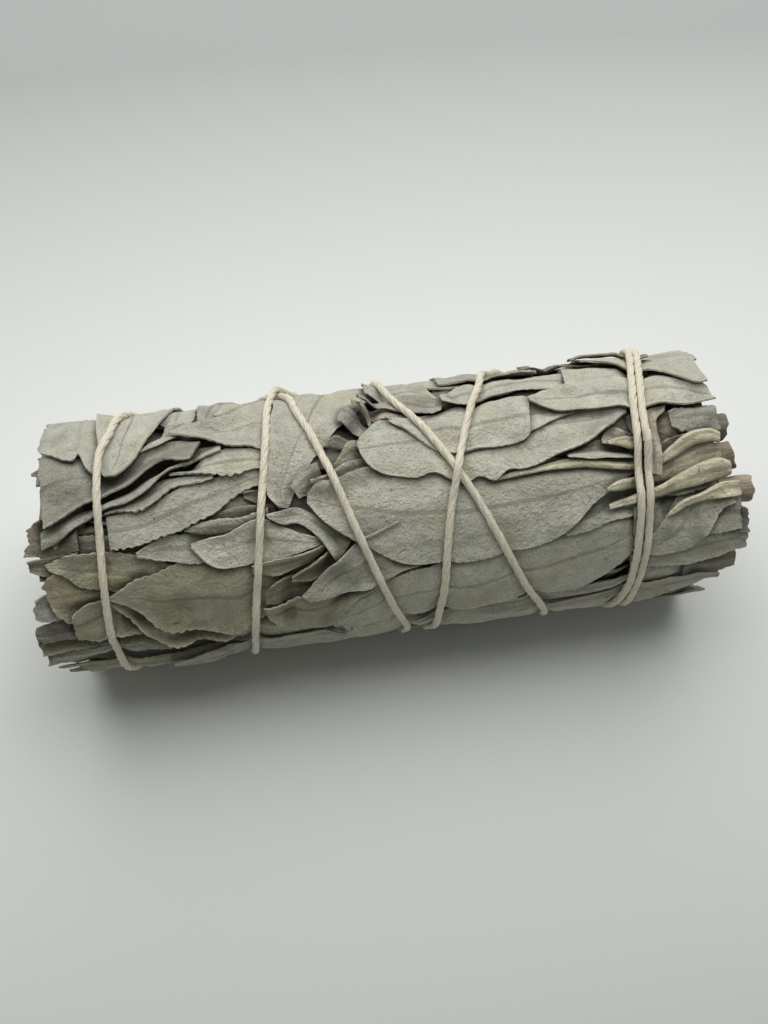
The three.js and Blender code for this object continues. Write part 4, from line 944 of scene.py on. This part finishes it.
def wood_material():
    """Thin bark on the sides of a stem, and the cut wood round its pith on the end."""
    nodes, links, shader, material = new_material("stem_wood")
    place = nodes.new("ShaderNodeTexCoord").outputs["Object"]
    grain = noise_node(nodes, links, place, 1800, 5, (0.2, 1, 1))
    streaked = ramp_node(nodes, links, grain, [(0.3, (0.6, 0.56, 0.5)), (0.65, (1, 1, 1))])
    colour = multiply_node(nodes, links, 1, tint_node(nodes), streaked)
    links.new(colour, shader.inputs["Base Color"])
    links.new(bump_node(nodes, links, grain, 0.8, 0.0005), shader.inputs["Normal"])
    shader.inputs["Roughness"].default_value = 0.85
    return material


def cotton_material():
    """Undyed cotton string, a little fuzzy, with fibres along its plies."""
    nodes, links, shader, material = new_material("cotton")
    place = nodes.new("ShaderNodeTexCoord").outputs["Object"]
    flat = nodes.new("ShaderNodeUVMap")
    flat.uv_map = "flat"
    fibres = noise_node(nodes, links, flat.outputs["UV"], 2, 5, (0.4, 5, 1))
    fuzz = noise_node(nodes, links, place, 4000, 3)
    stops = [(0.3, (0.62, 0.565, 0.42)), (0.58, (0.95, 0.885, 0.69))]
    links.new(ramp_node(nodes, links, fibres, stops), shader.inputs["Base Color"])
    normal = bump_node(nodes, links, fibres, 0.7, 0.0002)
    links.new(bump_node(nodes, links, fuzz, 0.9, 0.00025, normal), shader.inputs["Normal"])
    shader.inputs["Roughness"].default_value = 0.92
    shader.inputs["Sheen Weight"].default_value = 0.3
    shader.inputs["Sheen Roughness"].default_value = 0.5
    return material


# The inside of the roll


def core_mesh(surface, waist):
    """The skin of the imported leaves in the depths, closed at both ends."""

    def shape(u, v):
        x = CORE_LEFT + (CORE_RIGHT - CORE_LEFT) * u
        angle = 180 * v
        radius = sample(surface, x, angle) - STRING_WAIST * sample(waist, x, angle)
        points = on_roll(x, angle, np.minimum(radius, floor_radius(angle) - 1.2))
        return points, np.ones((len(u), 3)), np.stack([x, angle * ARC], axis=-1)

    return joined("packed_leaves", [sheet_mesh("skin", 120, 150, shape)], close=True)


def clear_of_stems(points):
    """Moves places at the cut end sideways, out of the stems."""
    for out, angle, radius, _, _ in STEMS.values():
        centre = on_roll(np.array(0.0), np.array(float(angle)), np.array(float(out)))[1:]
        away = points[:, 1:] - centre
        distance = np.maximum(0.01, np.linalg.norm(away, axis=1))
        room = radius + 0.45
        short = (distance < room) & (points[:, 0] > STEM_START)
        moved = centre + away / distance[:, None] * room
        points[:, 1:] = np.where(short[:, None], moved, points[:, 1:])
    return points


def short_over_stems(x, angle, radius):
    """Cuts the leaf ends that lie over a stem back, so that the stem stands out of them."""
    for out, stem_angle, _, _, _ in STEMS.values():
        aside = np.abs(np.mod(angle - stem_angle + 180, 360) - 180)
        x = np.where((aside < 14) & (radius > out), np.minimum(x, CORE_RIGHT + 1.6), x)
    return x


def end_leaf(random, inside, outside, radius, angle, sweep):
    """One inner leaf at an end of the roll: a crumpled blade that shows its cut or torn edge."""
    seed = int(random.integers(1, 100000))
    tint = np.array(INNER_TINTS[random.integers(len(INNER_TINTS))])
    curls = random.uniform(-1, 1, 2)

    def shape(u, v):
        arc = v * math.radians(sweep) * radius / 2
        torn = ripple(arc, 0 * arc, 2.8, seed) * 0.7 + ripple(arc, 0 * arc, 0.9, seed + 1) * 0.3
        x = inside + (outside - inside) * u + np.sign(outside) * torn * u**3
        crumple = ripple(arc, u * 2, 4.5, seed + 2) * 0.7 + ripple(arc, u, 1.6, seed + 3) * 0.25
        curl = curls[0] * np.abs(v) ** 3 + curls[1] * u**2
        r = np.clip(radius + (crumple + curl) * (0.35 + 0.65 * u), 0.4, 17.6)
        a = angle + v * sweep / 2
        if outside > 0:
            x = short_over_stems(x, a, r)
        points = on_roll(x, a, np.minimum(r, floor_radius(a) - 0.8))
        if outside > 0:
            points = clear_of_stems(points)
        # Painted shade: each blade's colour is darker where it goes into the roll and lighter out towards its
        # torn edge
        edge = np.clip((u - 0.7) / 0.3, 0, 1)
        colours = tint * (0.6 + 0.5 * edge)[:, None]
        return points, colours, np.stack([x, arc], axis=-1)

    return sheet_mesh("end_leaf", 8, max(8, int(sweep / 8)), shape, 0.32)


def end_leaves(name, face, outwards):
    """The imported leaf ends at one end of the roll."""
    random = np.random.default_rng(17 if outwards > 0 else 23)
    meshes = []
    for radius in np.arange(END_FIRST_RING, CORE_RADIUS, END_RING_STEP):
        start = random.uniform(0, 60)
        covered = start
        while covered < start + 350:
            sweep = min(END_SWEEP, random.uniform(8, 18) / max(radius, 2.5) * 57.3)
            outside = face + outwards * random.uniform(0.8, 3.2)
            meshes.append(end_leaf(random, face - outwards * 3, outside, radius, covered, sweep))
            covered += sweep * random.uniform(0.75, 1)
    return joined(name, meshes)


def stem_mesh(name):
    """A woody stem, a little crooked, with rough bark and a slanting cut end round its pith."""
    out, angle, radius, end, bark_colour = STEMS[name]
    seed = int(out * 10 + angle + 400)
    centre = on_roll(np.array(0.0), np.array(float(angle)), np.array(float(out)))
    slant = 0.3 * math.sin(seed)

    def shape(u, v):
        inwards = np.clip((u - 0.9) / 0.1, 0, 1)
        x = STEM_START + (end - STEM_START) * np.minimum(u / 0.9, 1)
        turn = math.pi * v
        bark = 0.06 * ripple(x, turn * 2, 3.5, seed) * np.minimum(1, 12 * (1 - np.abs(v)))
        r = radius * (1 + bark + 0.08 * np.exp(-(((x - end) / 1.2) ** 2))) * (1 - inwards)
        side, up = r * np.sin(turn), r * np.cos(turn)
        near_end = np.clip((x - end + 4) / 4, 0, 1)
        x = x + (slant * up + 0.3 * ripple(side, up, 1.5, seed + 1)) * near_end - 0.3 * (inwards > 0.5)
        points = np.stack([x, centre[1] - side, centre[2] + up], axis=-1)
        wood = np.where((inwards > 0.1)[:, None], CUT_WOOD, bark_colour)
        wood = np.where((inwards > 0.6)[:, None], PITH, wood)
        return points, wood, np.stack([x, r * turn], axis=-1)

    return joined(name, [sheet_mesh("bark", 110, 26, shape)], close=True)


# The string


def string_places():
    way = smooth_line(np.array(STRING_WAY) * (1, ARC))
    return evenly(way, STRING_STEP) / (1, ARC)


def string_waist(places):
    """How far the string presses the leaves in, from 0 to 1."""
    field = np.zeros((COLUMNS, ROWS))
    field[cells(places[:, 0], places[:, 1])] = 1
    field = spread(spread(spread(field, 3, greatest), 3, average), 2, average)
    return np.minimum(1, field / 0.8)


def string_line(pile, waist):
    """The string's middle line, which rides over the leaves and over the string's own earlier turns."""
    places = string_places()
    surface = spread(pile - STRING_WAIST * waist, 1, average)
    columns, rows = cells(places[:, 0], places[:, 1])
    marks = np.zeros_like(surface)
    radii = []
    for n, (i, k) in enumerate(zip(columns, rows)):
        near = np.ix_(range(i - 1, i + 2), np.arange(k - 1, k + 2) % ROWS)
        on_leaves = surface[near].max() + STRING_RADIUS * STRING_ON_LEAVES
        radii.append(max(on_leaves, marks[near].max() + STRING_RADIUS * STRING_ON_STRING))
        earlier = n - STRING_OWN
        if earlier >= 0:
            marks[columns[earlier], rows[earlier]] = radii[earlier]
    radii = np.pad(radii, STRING_EVENED - 1, mode="edge")
    held = np.maximum.reduce([radii[d : d + len(radii) - STRING_EVENED + 1] for d in range(STRING_EVENED)])
    smooth = np.convolve(held, np.ones(STRING_EVENED) / STRING_EVENED, mode="valid")
    return places, np.minimum(smooth, floor_radius(places[:, 1]) - (STRING_RADIUS + GAP))


def string_directions(middle):
    """The directions out of the roll and sideways at each point of the string's middle line."""
    along = np.gradient(middle, axis=0)
    along /= np.linalg.norm(along, axis=1)[:, None]
    outwards = middle * (0, 1, 1) - (0, 0, AXIS_HEIGHT)
    outwards -= along * (outwards * along).sum(axis=1)[:, None]
    outwards /= np.linalg.norm(outwards, axis=1)[:, None]
    return outwards, np.cross(along, outwards)


def string_mesh(pile, waist):
    """Soft plies laid round each other in one long string."""
    places, radii = string_line(pile, waist)
    middle = evenly(on_roll(places[:, 0], places[:, 1], radii), PLY_STEP)
    outwards, sideways = string_directions(middle)
    last = len(middle) - 1

    def ply_mesh(ply):
        def shape(u, v):
            n = np.rint(u * last).astype(int)
            length = n * PLY_STEP
            twist = 2 * math.pi * (length / PLY_PITCH + 0.06 * ripple(length, 0 * u, 25, 7) + ply / PLIES)
            round_ply = twist + math.pi * v
            thick = PLY_RADIUS * (1 + 0.12 * ripple(length, 0 * u, 5, 50 + ply))
            out = PLY_OFFSET * np.cos(twist) + thick * np.cos(round_ply)
            side = PLY_OFFSET * np.sin(twist) + thick * np.sin(round_ply)
            points = middle[n] + outwards[n] * out[:, None] + sideways[n] * side[:, None]
            return points, np.ones((len(u), 3)), np.stack([length, v + 3.0 * ply], axis=-1)

        return sheet_mesh("ply", last, 7, shape)

    return joined("cotton_string", [ply_mesh(ply) for ply in range(PLIES)], close=True)


# The whole roll


def build_roll():
    leaf_look, inner_look, wood = leaf_material(), inner_material(), wood_material()
    waist = string_waist(string_places())
    deep = inner_layer()
    items = back_leaves() + UNDER + FRONT_LOW + LEFT_TOP + MIDDLE + RIGHT
    give = settle(deep + items)
    core = core_surface(give)
    new_piece("packed_leaves", core_mesh(core, waist), inner_look, "inner_leaves", slot="inner")
    pile = add_stems(core.copy())
    laid = [(item, lay(item, pile)) for item in deep + items]
    # The crest of the finished pile, against which each leaf's painted shade is measured
    crest = spread(spread(pile, 2, greatest), 1, average)
    meshes = [leaf_mesh(item, under, waist, crest) for item, under in laid]
    layer = joined("inner_layer", meshes[: len(deep)])
    new_piece("inner_layer", layer, leaf_look, "inner_leaves", slot="inner")
    for item, mesh in zip(items, meshes[len(deep) :]):
        new_piece(item["name"] + "_blade", mesh, leaf_look, item["node"])
    for name, face, outwards in (("leaf_ends_left", CORE_LEFT, -1), ("leaf_ends_right", CORE_RIGHT, 1)):
        new_piece(name, end_leaves(name, face, outwards), leaf_look, "inner_leaves", slot="inner")
    for name in STEMS:
        new_piece(name + "_wood", stem_mesh(name), wood, name, slot="wood")
    new_piece("cotton_string", string_mesh(pile, waist), cotton_material(), "string", slot="cotton")


# Surface, light and camera


def add_floor():
    bm = bmesh.new()
    bmesh.ops.create_grid(bm, x_segments=1, y_segments=1, size=2)
    mesh = bpy.data.meshes.new("surface")
    bm.to_mesh(mesh)
    bm.free()
    floor = bpy.data.objects.new("surface", mesh)
    bpy.context.scene.collection.objects.link(floor)
    nodes, links, shader, material = new_material("pale_surface_painted_light")
    place = nodes.new("ShaderNodeTexCoord").outputs["Object"]
    mapping = nodes.new("ShaderNodeMapping")
    mapping.inputs["Location"].default_value = (0, -0.105, 0)
    mapping.inputs["Scale"].default_value = (2.5, 7, 1)
    links.new(place, mapping.inputs["Vector"])
    # Painted light: a spherical gradient paints a pool of light round the roll, lighter near it and darker
    # away from it
    far = nodes.new("ShaderNodeTexGradient")
    far.gradient_type = "SPHERICAL"
    links.new(mapping.outputs["Vector"], far.inputs["Vector"])
    stops = [(0.1, SURFACE_PAINTED_DIM), (0.85, SURFACE_PAINTED_LIT)]
    links.new(ramp_node(nodes, links, far.outputs["Fac"], stops), shader.inputs["Base Color"])
    shader.inputs["Roughness"].default_value = 0.8
    shader.inputs["Specular IOR Level"].default_value = 0.2
    mesh.materials.append(material)


def add_lamp():
    """One broad soft lamp above and behind the roll."""
    light = bpy.data.lights.new("overhead", "AREA")
    light.shape = "DISK"
    light.size = LAMP_SIZE
    light.energy = LAMP_POWER
    lamp = bpy.data.objects.new("overhead", light)
    bpy.context.scene.collection.objects.link(lamp)
    lamp.location = LAMP_PLACE
    lamp.rotation_euler = (-Vector(LAMP_PLACE)).to_track_quat("-Z", "Y").to_euler()


def add_world():
    world = bpy.data.worlds.new("soft_room")
    world.use_nodes = True
    background = world.node_tree.nodes["Background"]
    background.inputs["Color"].default_value = (*ROOM_COLOUR, 1)
    background.inputs["Strength"].default_value = ROOM_LIGHT
    bpy.context.scene.world = world


def add_camera():
    """The picture's own viewpoint, which looks at the middle of the roll from above and a little left."""
    camera = bpy.data.cameras.new("camera")
    camera.lens = LENS
    camera.sensor_width = SENSOR_WIDTH
    camera.shift_x, camera.shift_y = LENS_SHIFT
    camera.clip_start = 0.005
    eye = bpy.data.objects.new("camera", camera)
    bpy.context.scene.collection.objects.link(eye)
    up, turn = math.radians(CAMERA_UP), math.radians(CAMERA_SIDEWAYS)
    target = Vector((0, 0, AXIS_HEIGHT * MM))
    towards = Vector((math.sin(turn) * math.cos(up), -math.cos(turn) * math.cos(up), math.sin(up)))
    eye.location = target + towards * CAMERA_DISTANCE
    eye.rotation_euler = (-towards).to_track_quat("-Z", "Y").to_euler()
    bpy.context.scene.camera = eye


build_roll()
add_floor()
add_world()
add_lamp()
add_camera()
bpy.context.scene.view_settings.view_transform = "Standard"
